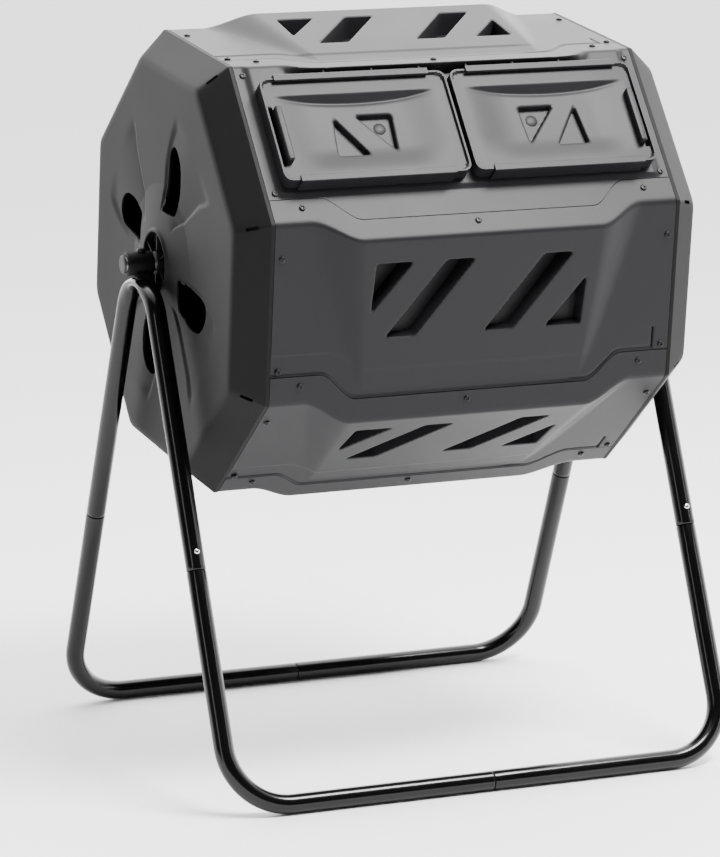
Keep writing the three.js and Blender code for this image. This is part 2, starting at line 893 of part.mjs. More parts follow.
function saddleNut(side) {
  const x = side.x * STAND.x;
  const high = CROWN_Z - CROWN_HALF_THICK - 4 * GAP;
  const top = new THREE.Vector3(x, 0, high);
  const bottom = new THREE.Vector3(x, 0, high - BOLT.nutThick);
  return cut(rod(bottom, top, BOLT.nutRadius, 6), boltHole(side));
}

// ---------------------------------------------------------------- assembly

function part(name, solid, makeFinish) {
  const mesh = new THREE.Mesh(toGeometry(solid), makeFinish());
  mesh.name = name;
  return mesh;
}

// Plain panels in order from the top, down the front and round the back, in eighths of a turn
// above the front.
const PLAIN_PANELS = [
  { name: "top_panel", eighths: 2 },
  { name: "front_panel", eighths: 0 },
  { name: "lower_front_panel", eighths: -1 },
  { name: "bottom_panel", eighths: -2 },
  { name: "lower_back_panel", eighths: -3 },
  { name: "back_panel", eighths: 4 },
  { name: "upper_back_panel", eighths: 3 },
];

function onFace(mesh, eighths) {
  mesh.applyMatrix4(faceMatrix(eighths * EIGHTH));
  return mesh;
}

function barrelGroup() {
  const group = new THREE.Group();
  const plain = sidePanel();
  PLAIN_PANELS.forEach(({ name, eighths }) => {
    group.add(onFace(part(name, plain, FINISHES.panel), eighths));
  });
  group.add(onFace(part("door_panel", doorPanel(), FINISHES.panel), 1));
  SIDES.forEach((side) => {
    group.add(onFace(part(`${side.name}_door`, slidingDoor(side.x), FINISHES.panel), 1));
  });
  const cap = endCap();
  SIDES.forEach((side) => {
    const mesh = part(`${side.name}_end_cap`, cap, FINISHES.cap);
    if (side.x > 0) mesh.rotation.z = Math.PI;
    group.add(mesh);
  });
  group.add(part("partition", partition(), FINISHES.cap));
  group.position.z = AXLE_Z;
  group.rotation.x = BARREL.lean;
  return group;
}

function axleGroup() {
  const group = new THREE.Group();
  group.position.z = AXLE_Z;
  group.add(part("axle_tube", axleTube(), FINISHES.steel));
  SIDES.forEach((side) => group.add(part(`${side.name}_axle_plug`, axlePlug(side), FINISHES.plug)));
  return group;
}

function standGroup() {
  const group = new THREE.Group();
  SIDES.forEach((side) => {
    group.add(part(`${side.name}_frame_top`, frameTop(side), FINISHES.frame));
    group.add(part(`${side.name}_axle_saddle`, axleSaddle(side), FINISHES.black));
    group.add(part(`${side.name}_saddle_bolt`, saddleBolt(side), FINISHES.steel));
    group.add(part(`${side.name}_saddle_nut`, saddleNut(side), FINISHES.steel));
    ENDS.forEach((end) => {
      const name = `${side.name}_${end.name}`;
      group.add(part(`${name}_leg`, lowerLeg(side, end), FINISHES.frame));
      group.add(part(`${name}_snap_button`, snapButton(side, end), FINISHES.steel));
      group.add(part(`${name}_snap_spring`, snapSpring(side, end), FINISHES.steel));
    });
  });
  return group;
}

const tumbler = new THREE.Group();
tumbler.name = "compost_tumbler";
tumbler.add(barrelGroup(), axleGroup(), standGroup());

export default tumbler;
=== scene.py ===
"""Compost tumbler: an octagonal two-chamber barrel with sliding doors on a tubular steel stand.

Every size in the classes is in millimetres and is turned to metres when a mesh is made. Barrel
pieces are worked out in a panel's own frame (u along the axle, v up the face from its lower crease,
w outward) or in the barrel's frame (the axle on the X axis), then leaned and lifted onto the
stand's axle.
"""

import logging
import math
from collections.abc import Sequence
from dataclasses import dataclass, field
from enum import Enum

import bmesh
import bpy
import numpy as np
from mathutils import Matrix, Vector


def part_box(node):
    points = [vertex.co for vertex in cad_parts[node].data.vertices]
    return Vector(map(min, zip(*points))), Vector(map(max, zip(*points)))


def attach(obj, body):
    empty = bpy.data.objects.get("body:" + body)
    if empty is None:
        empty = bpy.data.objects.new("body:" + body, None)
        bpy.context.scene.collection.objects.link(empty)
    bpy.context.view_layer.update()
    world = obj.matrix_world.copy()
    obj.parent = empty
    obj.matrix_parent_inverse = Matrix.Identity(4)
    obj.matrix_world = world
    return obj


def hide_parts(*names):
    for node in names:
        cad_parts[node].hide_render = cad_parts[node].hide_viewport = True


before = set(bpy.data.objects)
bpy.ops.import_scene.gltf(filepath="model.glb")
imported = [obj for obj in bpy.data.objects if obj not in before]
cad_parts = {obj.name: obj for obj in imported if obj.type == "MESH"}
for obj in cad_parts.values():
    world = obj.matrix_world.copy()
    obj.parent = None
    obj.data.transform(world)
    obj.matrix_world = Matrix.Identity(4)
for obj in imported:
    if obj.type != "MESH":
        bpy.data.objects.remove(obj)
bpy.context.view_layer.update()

LOG = logging.getLogger("compost_tumbler")
MM = 0.001
Array = np.ndarray

MERGE_DISTANCE = 2e-6  # metres: points nearer than this become one
EMPTY_EDGE = 1e-6  # metres: an edge shorter than this is dropped
GRAIN_RELIEF = 0.0002  # metres: depth of the moulded grain
FAR = 99.0  # a distance beyond every feature
HOLE_TRIM = -0.3  # a point further inside a hole than this goes with the hole
SNAP_SHARE = 0.51  # share of a grid step within which a point slides onto a pocket's line
UPRIGHT = np.array([[0.0, 1.0, 0.0], [0.0, 0.0, 1.0], [1.0, 0.0, 0.0]])  # a lathe's axis onto Z
UNTURNED = np.eye(3)


# ------------------------------------------------------------------ arithmetic on grids


def smoothstep(x: Array, low: float, high: float) -> Array:
    """Rises from 0 at `low` to 1 at `high` with level ends.

    Args:
        x: Where to evaluate it.
        low: Where the rise starts.
        high: Where the rise ends.

    Returns:
        The share at each x, t*t*(3 - 2t) of the clipped fraction t.
    """
    t = np.clip((x - low) / (high - low), 0.0, 1.0)
    return t * t * (3.0 - 2.0 * t)


def soft_min(a: Array, b: Array, width: float) -> Array:
    """The lower of two heights, rounded off where they cross.

    Args:
        a: One height.
        b: The other height.
        width: How far either side of the crossing the rounding reaches.

    Returns:
        Their blend, less width*h*(1-h) with h the share of `a`.
    """
    share = np.clip(0.5 + 0.5 * (b - a) / width, 0.0, 1.0)
    return b + (a - b) * share - width * share * (1.0 - share)


def soft_max(a: Array, b: Array, width: float) -> Array:
    """The higher of two heights, rounded where they cross, as soft_min turned over.

    Args:
        a: One height.
        b: The other height.
        width: The reach of the rounding.

    Returns:
        The blended height.
    """
    return -soft_min(-a, -b, width)


def spans(stops: Sequence[float], steps: Sequence[float]) -> Array:
    """Stations from the first stop to the last, evenly spaced between each pair of stops.

    Args:
        stops: Places that get a station each.
        steps: The widest spacing between each pair of stops.

    Returns:
        The stations in rising order.
    """
    parts = [np.array([stops[0]])]
    for low, high, step in zip(stops[:-1], stops[1:], steps):
        count = max(1, math.ceil((high - low) / step - 1e-9))
        parts.append(np.linspace(low, high, count + 1)[1:])
    return np.concatenate(parts)


def pocket_lines(grid: float) -> tuple[float, float, float]:
    """Distances from a pocket's edge that get grid lines: its lip, and its wall's top and foot."""
    return 0.6 * grid, -0.4 * grid, -1.4 * grid


def sunk(height: Array, away: Array, grid: float, lip: float, floor: float) -> Array:
    """Sinks a pocket into a surface: a lip eased over one grid step, then a wall to the floor.

    Args:
        height: The surface's height.
        away: Distance from the pocket's edge, negative inside.
        grid: Spacing of the grid points.
        lip: How far the lip is let down.
        floor: Height of the pocket's floor.

    Returns:
        The height with the pocket in it.
    """
    lip_line, wall_line, _ = pocket_lines(grid)
    eased = height - lip * np.clip((lip_line - away) / grid, 0.0, 1.0)
    share = np.clip((wall_line - away) / grid, 0.0, 1.0)
    return np.where(away < lip_line, eased * (1.0 - share) + floor * share, height)


@dataclass(frozen=True)
class Outline:
    """A convex outline with softened corners, as a field of distances that are negative inside."""

    corners: tuple[tuple[float, float], ...]
    softness: float = 3.0

    def distance(self, x: Array, y: Array) -> Array:
        """Distance beyond the outline: the rounded maximum of the distances beyond its sides.

        Args:
            x: First coordinate of each point.
            y: Second coordinate of each point.

        Returns:
            The distance of each point, negative inside.
        """
        points = np.array(self.corners)
        ahead = np.roll(points, -1, axis=0)
        area = np.sum(points[:, 0] * ahead[:, 1] - points[:, 1] * ahead[:, 0])
        result = None
        for (x0, y0), (x1, y1) in zip(points, ahead):
            length = math.hypot(x1 - x0, y1 - y0) * np.sign(area)
            beyond = ((x - x0) * (y1 - y0) - (y - y0) * (x1 - x0)) / length
            result = beyond if result is None else soft_max(result, beyond, self.softness)
        return result

    def snapped(
        self, x: Array, y: Array, lines: Sequence[float], reach: float
    ) -> tuple[Array, Array]:
        """Slides grid points near one of the `lines` onto it, square to the outline.

        Args:
            x: First coordinate of each grid point.
            y: Second coordinate of each grid point.
            lines: Distances from the outline that get a row of points.
            reach: How far a point may be from a line and still be moved.

        Returns:
            The new coordinates.
        """
        start = self.distance(x, y)
        targets = np.array(lines)
        nearest = targets[np.argmin(np.abs(start[..., None] - targets), axis=-1)]
        near = np.abs(start - nearest) <= reach
        delta = 1e-3
        for _ in range(4):
            here = self.distance(x, y)
            slope_x = (self.distance(x + delta, y) - here) / delta
            slope_y = (self.distance(x, y + delta) - here) / delta
            step = np.where(near, (nearest - here) / (slope_x**2 + slope_y**2 + 1e-6), 0.0)
            step = np.clip(step, -reach, reach)
            x = x + step * slope_x
            y = y + step * slope_y
        return x, y


# ------------------------------------------------------------------ meshes from arrays


@dataclass
class Patch:
    """Points with the four-sided and three-sided faces on them."""

    points: Array
    quads: Array
    tris: Array = field(default_factory=lambda: np.zeros((0, 3), int))

    def reversed_faces(self) -> "Patch":
        """The same surface facing the other way."""
        return Patch(self.points, self.quads[:, ::-1], self.tris[:, ::-1])

    def without(self, inside: Array) -> "Patch":
        """Takes away the faces that reach inside a hole.

        Args:
            inside: True for each point that is inside the hole.

        Returns:
            The patch without them. A quad with one inside corner leaves the triangle of the others.
        """
        count = inside[self.quads].sum(axis=1)
        cornered = self.quads[count == 1]
        first = np.argmax(inside[cornered], axis=1)
        order = (first[:, None] + np.array([1, 2, 3])) % 4
        clipped = np.take_along_axis(cornered, order, axis=1)
        whole = self.tris[~inside[self.tris].any(axis=1)] if len(self.tris) else self.tris
        return Patch(self.points, self.quads[count == 0], np.concatenate([whole, clipped]))

    def normals(self) -> Array:
        """Normals at the points, each the sum of its faces' area vectors.

        Returns:
            A unit vector for each point. A quad's area vector is the cross product of its
            diagonals, and a triangle's that of two sides.
        """
        total = np.zeros_like(self.points)
        four, three = self.points[self.quads], self.points[self.tris]
        quad_areas = np.cross(four[:, 2] - four[:, 0], four[:, 3] - four[:, 1])
        tri_areas = np.cross(three[:, 1] - three[:, 0], three[:, 2] - three[:, 0])
        for faces, areas in ((self.quads, quad_areas), (self.tris, tri_areas)):
            for corner in range(faces.shape[1]):
                np.add.at(total, faces[:, corner], areas)
        length = np.linalg.norm(total, axis=1, keepdims=True)
        return total / np.maximum(length, 1e-9)

    def walled(self, lower: Array) -> "Patch":
        """Closes the surface into a wall with `lower` as its far side and a rim at each open edge.

        Args:
            lower: The far side's point for each point.

        Returns:
            The closed shell.
        """
        count = len(self.points)
        rings = [self.quads[:, [i, (i + 1) % 4]] for i in range(4)]
        rings += [self.tris[:, [i, (i + 1) % 3]] for i in range(3)]
        edges = np.concatenate(rings)
        key = edges[:, 0].astype(np.int64) * count + edges[:, 1]
        back = edges[:, 1].astype(np.int64) * count + edges[:, 0]
        open_edges = edges[~np.isin(key, back)]
        near, ahead = open_edges.T
        rim = np.stack([ahead, near, near + count, ahead + count], axis=1)
        quads = np.concatenate([self.quads, self.quads[:, ::-1] + count, rim])
        tris = np.concatenate([self.tris, self.tris[:, ::-1] + count])
        return Patch(np.concatenate([self.points, lower]), quads, tris)

    def thickened(self, wall: float) -> "Patch":
        """A shell of even thickness behind the surface, `wall` deep along the points' normals."""
        return self.walled(self.points - wall * self.normals())


def grid_patch(points: Array, around: bool = False) -> Patch:
    """Faces on a grid of points, facing along (next column) x (next row).

    Args:
        points: Rows by columns by 3.
        around: Whether the last column joins the first.

    Returns:
        The patch.
    """
    rows, columns = points.shape[:2]
    index = np.arange(rows * columns).reshape(rows, columns)
    here = index if around else index[:, :-1]
    beside = np.roll(index, -1, axis=1) if around else index[:, 1:]
    quads = np.stack([here[:-1], beside[:-1], beside[1:], here[1:]], axis=-1).reshape(-1, 4)
    return Patch(points.reshape(-1, 3), quads)


def joined_halves(first: Patch, second: Patch) -> Patch:
    """The first half of one patch and the second half of another that has as many points.

    Args:
        first: Gives the points numbered below half the count.
        second: Gives the others.

    Returns:
        One surface, on which each face comes from the patch in whose half its mean number lies.
    """
    middle = len(first.points) / 2
    early = np.arange(len(first.points)) < middle
    quads, tris = (
        np.concatenate([a[a.mean(axis=1) < middle], b[b.mean(axis=1) >= middle]])
        for a, b in ((first.quads, second.quads), (first.tris, second.tris))
    )
    return Patch(np.where(early[:, None], first.points, second.points), quads, tris)


def lathe(profile: Sequence[tuple[float, float]], sides: int) -> Patch:
    """A closed profile turned about the X axis.

    Args:
        profile: (radius, x) points; a radius of 0 makes a pole.
        sides: How many sides the circle has.

    Returns:
        The turned surface, at angle t in the direction (cos t, sin t) of Y and Z.
    """
    radius, x = np.array(profile, float).T
    angle = np.linspace(0.0, 2.0 * np.pi, sides, endpoint=False)
    points = np.stack(
        [
            np.broadcast_to(x[:, None], (len(x), sides)),
            radius[:, None] * np.cos(angle),
            radius[:, None] * np.sin(angle),
        ],
        axis=-1,
    )
    return grid_patch(points, around=True)


def rounded_bar(size: tuple[float, float, float], radius: float) -> Patch:
    """A block on the XY plane, centred in X and Y, with its upright edges and its top rounded.

    The outline is a superellipse of eighth power; it draws in by r(1 - cos a) as it climbs r sin a.

    Args:
        size: Length along X, along Y, and height.
        radius: Radius of the top's edge.

    Returns:
        The closed block.
    """
    angle = np.linspace(0.0, 2.0 * np.pi, 64, endpoint=False)
    power = 0.25
    across = np.sign(np.cos(angle)) * np.abs(np.cos(angle)) ** power
    along = np.sign(np.sin(angle)) * np.abs(np.sin(angle)) ** power
    turn = np.linspace(0.0, np.pi / 2, 5)
    inset = np.concatenate([[size[0], 0.0], radius * (1.0 - np.cos(turn)), [size[0]]])
    height = np.concatenate([[0.0, 0.0], size[2] - radius + radius * np.sin(turn), [size[2]]])
    half_x = np.maximum(size[0] / 2 - inset, 0.0)
    half_y = np.maximum(size[1] / 2 - np.minimum(inset, size[1] / 2 - 1e-6), 0.0)
    half_y = np.where(half_x == 0.0, 0.0, half_y)
    points = np.stack(
        [
            half_x[:, None] * across,
            half_y[:, None] * along,
            np.broadcast_to(height[:, None], (len(height), len(angle))),
        ],
        axis=-1,
    )
    return grid_patch(points, around=True)


def extruded(outline: Sequence[tuple[float, float]], low: float, high: float) -> Patch:
    """A bar along X over a counter-clockwise outline in Y and Z, its ends closed by fans.

    Args:
        outline: (y, z) corners.
        low: X of one end.
        high: X of the other.

    Returns:
        The closed bar.
    """
    corners = np.array(outline, float)
    rows = []
    for x, scale in ((low, 0.0), (low, 1.0), (high, 1.0), (high, 0.0)):
        ring = corners.mean(axis=0) + (corners - corners.mean(axis=0)) * scale
        rows.append(np.column_stack([np.full(len(ring), x), ring]))
    return grid_patch(np.array(rows), around=True)


def moved(patch: Patch, matrix: Array, shift: Sequence[float] = (0.0, 0.0, 0.0)) -> Patch:
    """The patch with its points turned by a matrix whose columns are the new axes, then shifted."""
    points = patch.points @ np.asarray(matrix, float).T + np.asarray(shift, float)
    return Patch(points, patch.quads, patch.tris)


def finished_object(
    name: str, patches: Sequence[Patch], merge: bool = False, sharp: float = 38.0
) -> bpy.types.Object:
    """Makes one object at the origin from patches in millimetres in the row frame.

    Args:
        name: The piece's name.
        patches: Its surfaces.
        merge: Whether to merge doubles and drop the empty faces that poles leave.
        sharp: The angle between faces, in degrees, past which an edge stays sharp.

    Returns:
        The new object, shaded smooth.
    """
    points, faces, start = [], [], 0
    for patch in patches:
        points.append(patch.points)
        faces.extend((patch.quads + start).tolist())
        faces.extend((patch.tris + start).tolist())
        start += len(patch.points)
    mesh = bpy.data.meshes.new(name)
    mesh.from_pydata((np.concatenate(points) * MM).tolist(), [], faces)
    if merge:
        work = bmesh.new()
        work.from_mesh(mesh)
        bmesh.ops.remove_doubles(work, verts=work.verts, dist=MERGE_DISTANCE)
        bmesh.ops.dissolve_degenerate(work, edges=work.edges, dist=EMPTY_EDGE)
        work.to_mesh(mesh)
        work.free()
    mesh.validate()
    mesh.polygons.foreach_set("use_smooth", np.ones(len(mesh.polygons), bool))
    mesh.set_sharp_from_angle(angle=math.radians(sharp))
    mesh.update()
    made = bpy.data.objects.new(name, mesh)
    bpy.context.scene.collection.objects.link(made)
    return made


# ------------------------------------------------------------------ finishes


class Slot(Enum):
    """Names of the record's material slots."""

    PANEL = "panel_plastic"
    CAP = "cap_plastic"
    FRAME = "frame_paint"
    SADDLE = "saddle_plastic"
    PLUG = "plug_plastic"
    ZINC = "zinc_steel"
    SPRING = "bright_steel"


class Nodes:
    """A short way to add and join shader nodes in one tree."""

    def __init__(self, tree: bpy.types.NodeTree) -> None:
        """Keeps the tree that nodes are added to."""
        self.tree = tree

    def add(self, kind: str, inputs: dict | None = None, **settings: object) -> bpy.types.Node:
        """Adds a node, sets its properties, and fills its inputs with values or output sockets.

        Args:
            kind: The node's type name.
            inputs: A value or an output socket for each input, by name or index.
            **settings: The node's own properties.

        Returns:
            The node.
        """
        node = self.tree.nodes.new(kind)
        for key, value in settings.items():
            setattr(node, key, value)
        for key, value in (inputs or {}).items():
            if isinstance(value, bpy.types.NodeSocket):
                self.tree.links.new(value, node.inputs[key])
            else:
                node.inputs[key].default_value = value
        return node


class MouldedGrain:
    """Shader group for fine grain and faint cloudiness: outputs a height and a mottle mask."""

    def __init__(self) -> None:
        """Builds the group: two noises on Object coordinates, one fine and one broad."""
        self.tree = bpy.data.node_groups.new("moulded_grain", "ShaderNodeTree")
        face = self.tree.interface
        for name, scale in (("Grain Scale", 900.0), ("Cloud Scale", 9.0)):
            socket = face.new_socket(name, in_out="INPUT", socket_type="NodeSocketFloat")
            socket.default_value = scale
        for name in ("Height", "Mottle"):
            face.new_socket(name, in_out="OUTPUT", socket_type="NodeSocketFloat")
        nodes = Nodes(self.tree)
        given = nodes.add("NodeGroupInput")
        place = nodes.add("ShaderNodeTexCoord").outputs["Object"]
        fine = nodes.add(
            "ShaderNodeTexNoise",
            {"Vector": place, "Scale": given.outputs["Grain Scale"], "Detail": 2.0},
        )
        cloud = nodes.add(
            "ShaderNodeTexNoise",
            {"Vector": place, "Scale": given.outputs["Cloud Scale"], "Detail": 4.0},
        )
        out = nodes.add("NodeGroupOutput")
        self.tree.links.new(fine.outputs["Fac"], out.inputs["Height"])
        self.tree.links.new(cloud.outputs["Fac"], out.inputs["Mottle"])

    def place(self, nodes: Nodes, grain: float, cloud: float) -> bpy.types.Node:
        """Puts the group into a material.

        Args:
            nodes: The material's node maker.
            grain: Scale of the fine grain, per metre.
            cloud: Scale of the cloudiness, per metre.

        Returns:
            The group node.
        """
        node = nodes.add("ShaderNodeGroup", node_tree=self.tree)
        node.inputs["Grain Scale"].default_value = grain
        node.inputs["Cloud Scale"].default_value = cloud
        return node


@dataclass(frozen=True)
class Finish:
    """One procedural finish: a colour that drifts a little, a roughness range and a fine grain."""

    name: str
    colour: tuple[float, float, float]
    drift: float
    roughness: tuple[float, float]
    grain: float
    cloud: float
    bump: float
    metallic: float = 0.0
    specular: float = 0.5

    def build(self, grain: MouldedGrain) -> bpy.types.Material:
        """Makes the material.

        Args:
            grain: The shared grain group.

        Returns:
            The material, with colour and roughness following the mottle and a bump from the grain.
        """
        material = bpy.data.materials.new(self.name)
        material.use_nodes = True
        material.node_tree.nodes.clear()
        nodes = Nodes(material.node_tree)
        source = grain.place(nodes, self.grain, self.cloud)
        dark = tuple(c * (1.0 - self.drift) for c in self.colour) + (1.0,)
        light = tuple(min(1.0, c * (1.0 + self.drift)) for c in self.colour) + (1.0,)
        mottle = source.outputs["Mottle"]
        factor, colour_a, colour_b = 0, 6, 7  # the Mix node's sockets when it mixes colours
        tint = nodes.add(
            "ShaderNodeMix", {factor: mottle, colour_a: dark, colour_b: light}, data_type="RGBA"
        )
        smooth, rough = self.roughness
        gloss = nodes.add(
            "ShaderNodeMapRange", {"Value": mottle, "To Min": smooth, "To Max": rough}
        )
        relief = nodes.add(
            "ShaderNodeBump",
            {"Height": source.outputs["Height"], "Strength": self.bump, "Distance": GRAIN_RELIEF},
        )
        shader = nodes.add(
            "ShaderNodeBsdfPrincipled",
            {
                "Base Color": tint.outputs[2],
                "Roughness": gloss.outputs["Result"],
                "Normal": relief.outputs["Normal"],
                "Metallic": self.metallic,
                "Specular IOR Level": self.specular,
            },
        )
        nodes.add("ShaderNodeOutputMaterial", {"Surface": shader.outputs["BSDF"]})
        return material


class FinishBook:
    """All the finishes, each built once."""

    PANEL = Finish(
        "grey_panel_plastic", colour=(0.0085, 0.0083, 0.0095), drift=0.06, roughness=(0.38, 0.46),
        grain=700.0, cloud=7.0, bump=0.25, specular=0.15,
    )
    CAP = Finish(
        "dark_cap_plastic", colour=(0.0052, 0.0052, 0.0054), drift=0.06, roughness=(0.5, 0.6),
        grain=700.0, cloud=7.0, bump=0.25, specular=0.09,
    )
    FRAME = Finish(
        "gloss_black_paint", colour=(0.0015, 0.0015, 0.0017), drift=0.15, roughness=(0.14, 0.22),
        grain=160.0, cloud=20.0, bump=0.03, specular=0.3,
    )
    SADDLE = Finish(
        "black_saddle_plastic", colour=(0.0015, 0.0015, 0.0016), drift=0.1, roughness=(0.5, 0.6),
        grain=800.0, cloud=30.0, bump=0.2, specular=0.12,
    )
    PLUG = Finish(
        "light_plug_plastic", colour=(0.022, 0.022, 0.0215), drift=0.05, roughness=(0.45, 0.55),
        grain=800.0, cloud=40.0, bump=0.2, specular=0.2,
    )
    ZINC = Finish(
        "zinc_plated_steel", colour=(0.55, 0.56, 0.57), drift=0.1, roughness=(0.25, 0.4),
        grain=500.0, cloud=60.0, bump=0.15, metallic=1.0,
    )
    SPRING = Finish(
        "bright_spring_steel", colour=(0.72, 0.72, 0.72), drift=0.05, roughness=(0.12, 0.2),
        grain=400.0, cloud=60.0, bump=0.05, metallic=1.0,
    )
    SCREW = Finish(
        "black_screw_steel", colour=(0.006, 0.006, 0.0065), drift=0.2, roughness=(0.28, 0.4),
        grain=600.0, cloud=80.0, bump=0.1, metallic=0.6,
    )
    FLOOR = Finish(
        "pale_studio_floor", colour=(0.87, 0.87, 0.87), drift=0.01, roughness=(0.7, 0.8),
        grain=60.0, cloud=1.0, bump=0.05, specular=0.1,
    )

    def __init__(self) -> None:
        """Builds the shared grain; materials follow when first asked for."""
        self.grain = MouldedGrain()
        self.made: dict[str, bpy.types.Material] = {}

    def dress(self, piece: bpy.types.Object, finish: Finish) -> None:
        """Gives a piece one finish all over.

        Args:
            piece: The object.
            finish: Its finish.
        """
        if finish.name not in self.made:
            self.made[finish.name] = finish.build(self.grain)
        piece.data.materials.clear()
        piece.data.materials.append(self.made[finish.name])


@dataclass
class Workshop:
    """What every sub-assembly shares: the finishes, and how a piece joins the frame."""

    finishes: FinishBook = field(default_factory=FinishBook)

    def fit(
        self,
        piece: bpy.types.Object,
        body: str,
        finish: Finish,
        slot: Slot | None = None,
        nodes: Sequence[str] = (),
    ) -> bpy.types.Object:
        """Dresses a piece and puts it on its body.

        Args:
            piece: The new object.
            body: The CAD body that it rides on.
            finish: Its finish.
            slot: The record's slot, if it has one; not used.
            nodes: The CAD nodes that it stands for.

        Returns:
            The same object.
        """
        self.finishes.dress(piece, finish)
        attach(piece, body)
        if nodes:
            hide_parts(*nodes)
        LOG.info("%s: %d faces on %s", piece.name, len(piece.data.polygons), body)
        return piece

    def dress_node(self, node: str, finish: Finish) -> None:
        """Gives a CAD node that stays visible its finish."""
        self.finishes.dress(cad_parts[node], finish)
        LOG.info("%s: CAD node kept", node)


# ------------------------------------------------------------------ barrel


@dataclass(frozen=True)
class BarrelFrame:
    """Where the barrel is: an octagon about the axle, leaning a little to the front."""

    apothem: float = 274.0
    half_length: float = 269.7
    lean: float = math.radians(6.5)
    axle_height: float = (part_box("axle_tube")[0].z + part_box("axle_tube")[1].z) / 2 / MM

    @property
    def panel_height(self) -> float:
        """Side of the octagon: twice the apothem times the tangent of half an eighth turn."""
        return 2.0 * self.apothem * math.tan(math.pi / 8)

    def lifted(self, patch: Patch) -> Patch:
        """Carries a patch from the barrel's frame to the row frame: lean about X, then lift."""
        c, s = math.cos(self.lean), math.sin(self.lean)
        return moved(patch, [[1, 0, 0], [0, c, -s], [0, s, c]], (0.0, 0.0, self.axle_height))

    def on_face(self, patch: Patch, eighths: float) -> Patch:
        """Carries a patch from a panel's frame to the row frame.

        Args:
            patch: The patch in (u, v, w).
            eighths: How many eighths of a turn the face is above the front.

        Returns:
            The patch with w along the face's normal, v up the face and u along the axle.
        """
        angle = eighths * math.pi / 4
        up = (0.0, math.sin(angle), math.cos(angle))
        out = (0.0, -math.cos(angle), math.sin(angle))
        base = np.array(out) * self.apothem - np.array(up) * self.panel_height / 2
        turned = moved(patch, np.column_stack([(1.0, 0.0, 0.0), up, out]), base)
        return self.lifted(turned)


@dataclass(frozen=True)
class PanelEdge:
    """What all eight panels share: the S-shaped seam and the flange over the next panel up."""

    height: float
    half_length: float
    seam_rise: float = 34.0
    seam_foot: float = 155.0
    seam_shoulder: float = 205.0
    reveal: float = 1.5
    flange_reach: float = 0.4
    border: float = 2.0
    border_depth: float = 3.3
    wall: float = 2.6
    low_rows: int = 30
    high_rows: int = 28

    def seam(self, u: Array) -> Array:
        """Height of the seam above the crease: a smooth rise between foot and shoulder."""
        return self.seam_rise * smoothstep(np.abs(u), self.seam_foot, self.seam_shoulder)

    def face_start(self, u: Array) -> Array:
        """Where the face starts, just above the lower panel's flange."""
        return self.seam(u) + self.reveal

    def flange_end(self, u: Array) -> Array:
        """v of the flange's edge, on the next panel's plane, 45 degrees further round."""
        return self.height + (self.seam(u) + self.flange_reach) * math.sqrt(0.5)

    def rows(self, u: Array, middle: Array) -> Array:
        """v of every grid point: the let-in border, the step, the face, and the flange.

        Args:
            u: The columns.
            middle: Straight rows shared by all columns.

        Returns:
            v by row and column; the first three rows are the border and the step's two edges.
        """
        start = self.face_start(u)
        step = np.stack([np.minimum(self.border, start - 1.0), start - 0.01, start])
        climb = np.linspace(0.0, 1.0, self.low_rows + 1)[:-1, None]
        low = climb * (middle[0] - start) + start
        climb = np.linspace(0.0, 1.0, self.high_rows + 1)[1:, None]
        high = climb * (self.flange_end(u) - middle[-1]) + middle[-1]
        straight = np.broadcast_to(middle[:, None], (len(middle), len(u)))
        return np.concatenate([step, low, straight, high])

    def shell(self, u: Array, v: Array, w: Array) -> Patch:
        """The panel as a thin wall: sinks the border's rows and thickens the surface.

        Args:
            u: u of every grid point.
            v: v of every grid point.
            w: Height of every grid point.

        Returns:
            The closed shell in the panel's frame.
        """
        w = w.copy()
        w[:2] -= self.border_depth
        w[2] -= 0.5
        return grid_patch(np.stack([u, v, w], axis=-1)).thickened(self.wall)


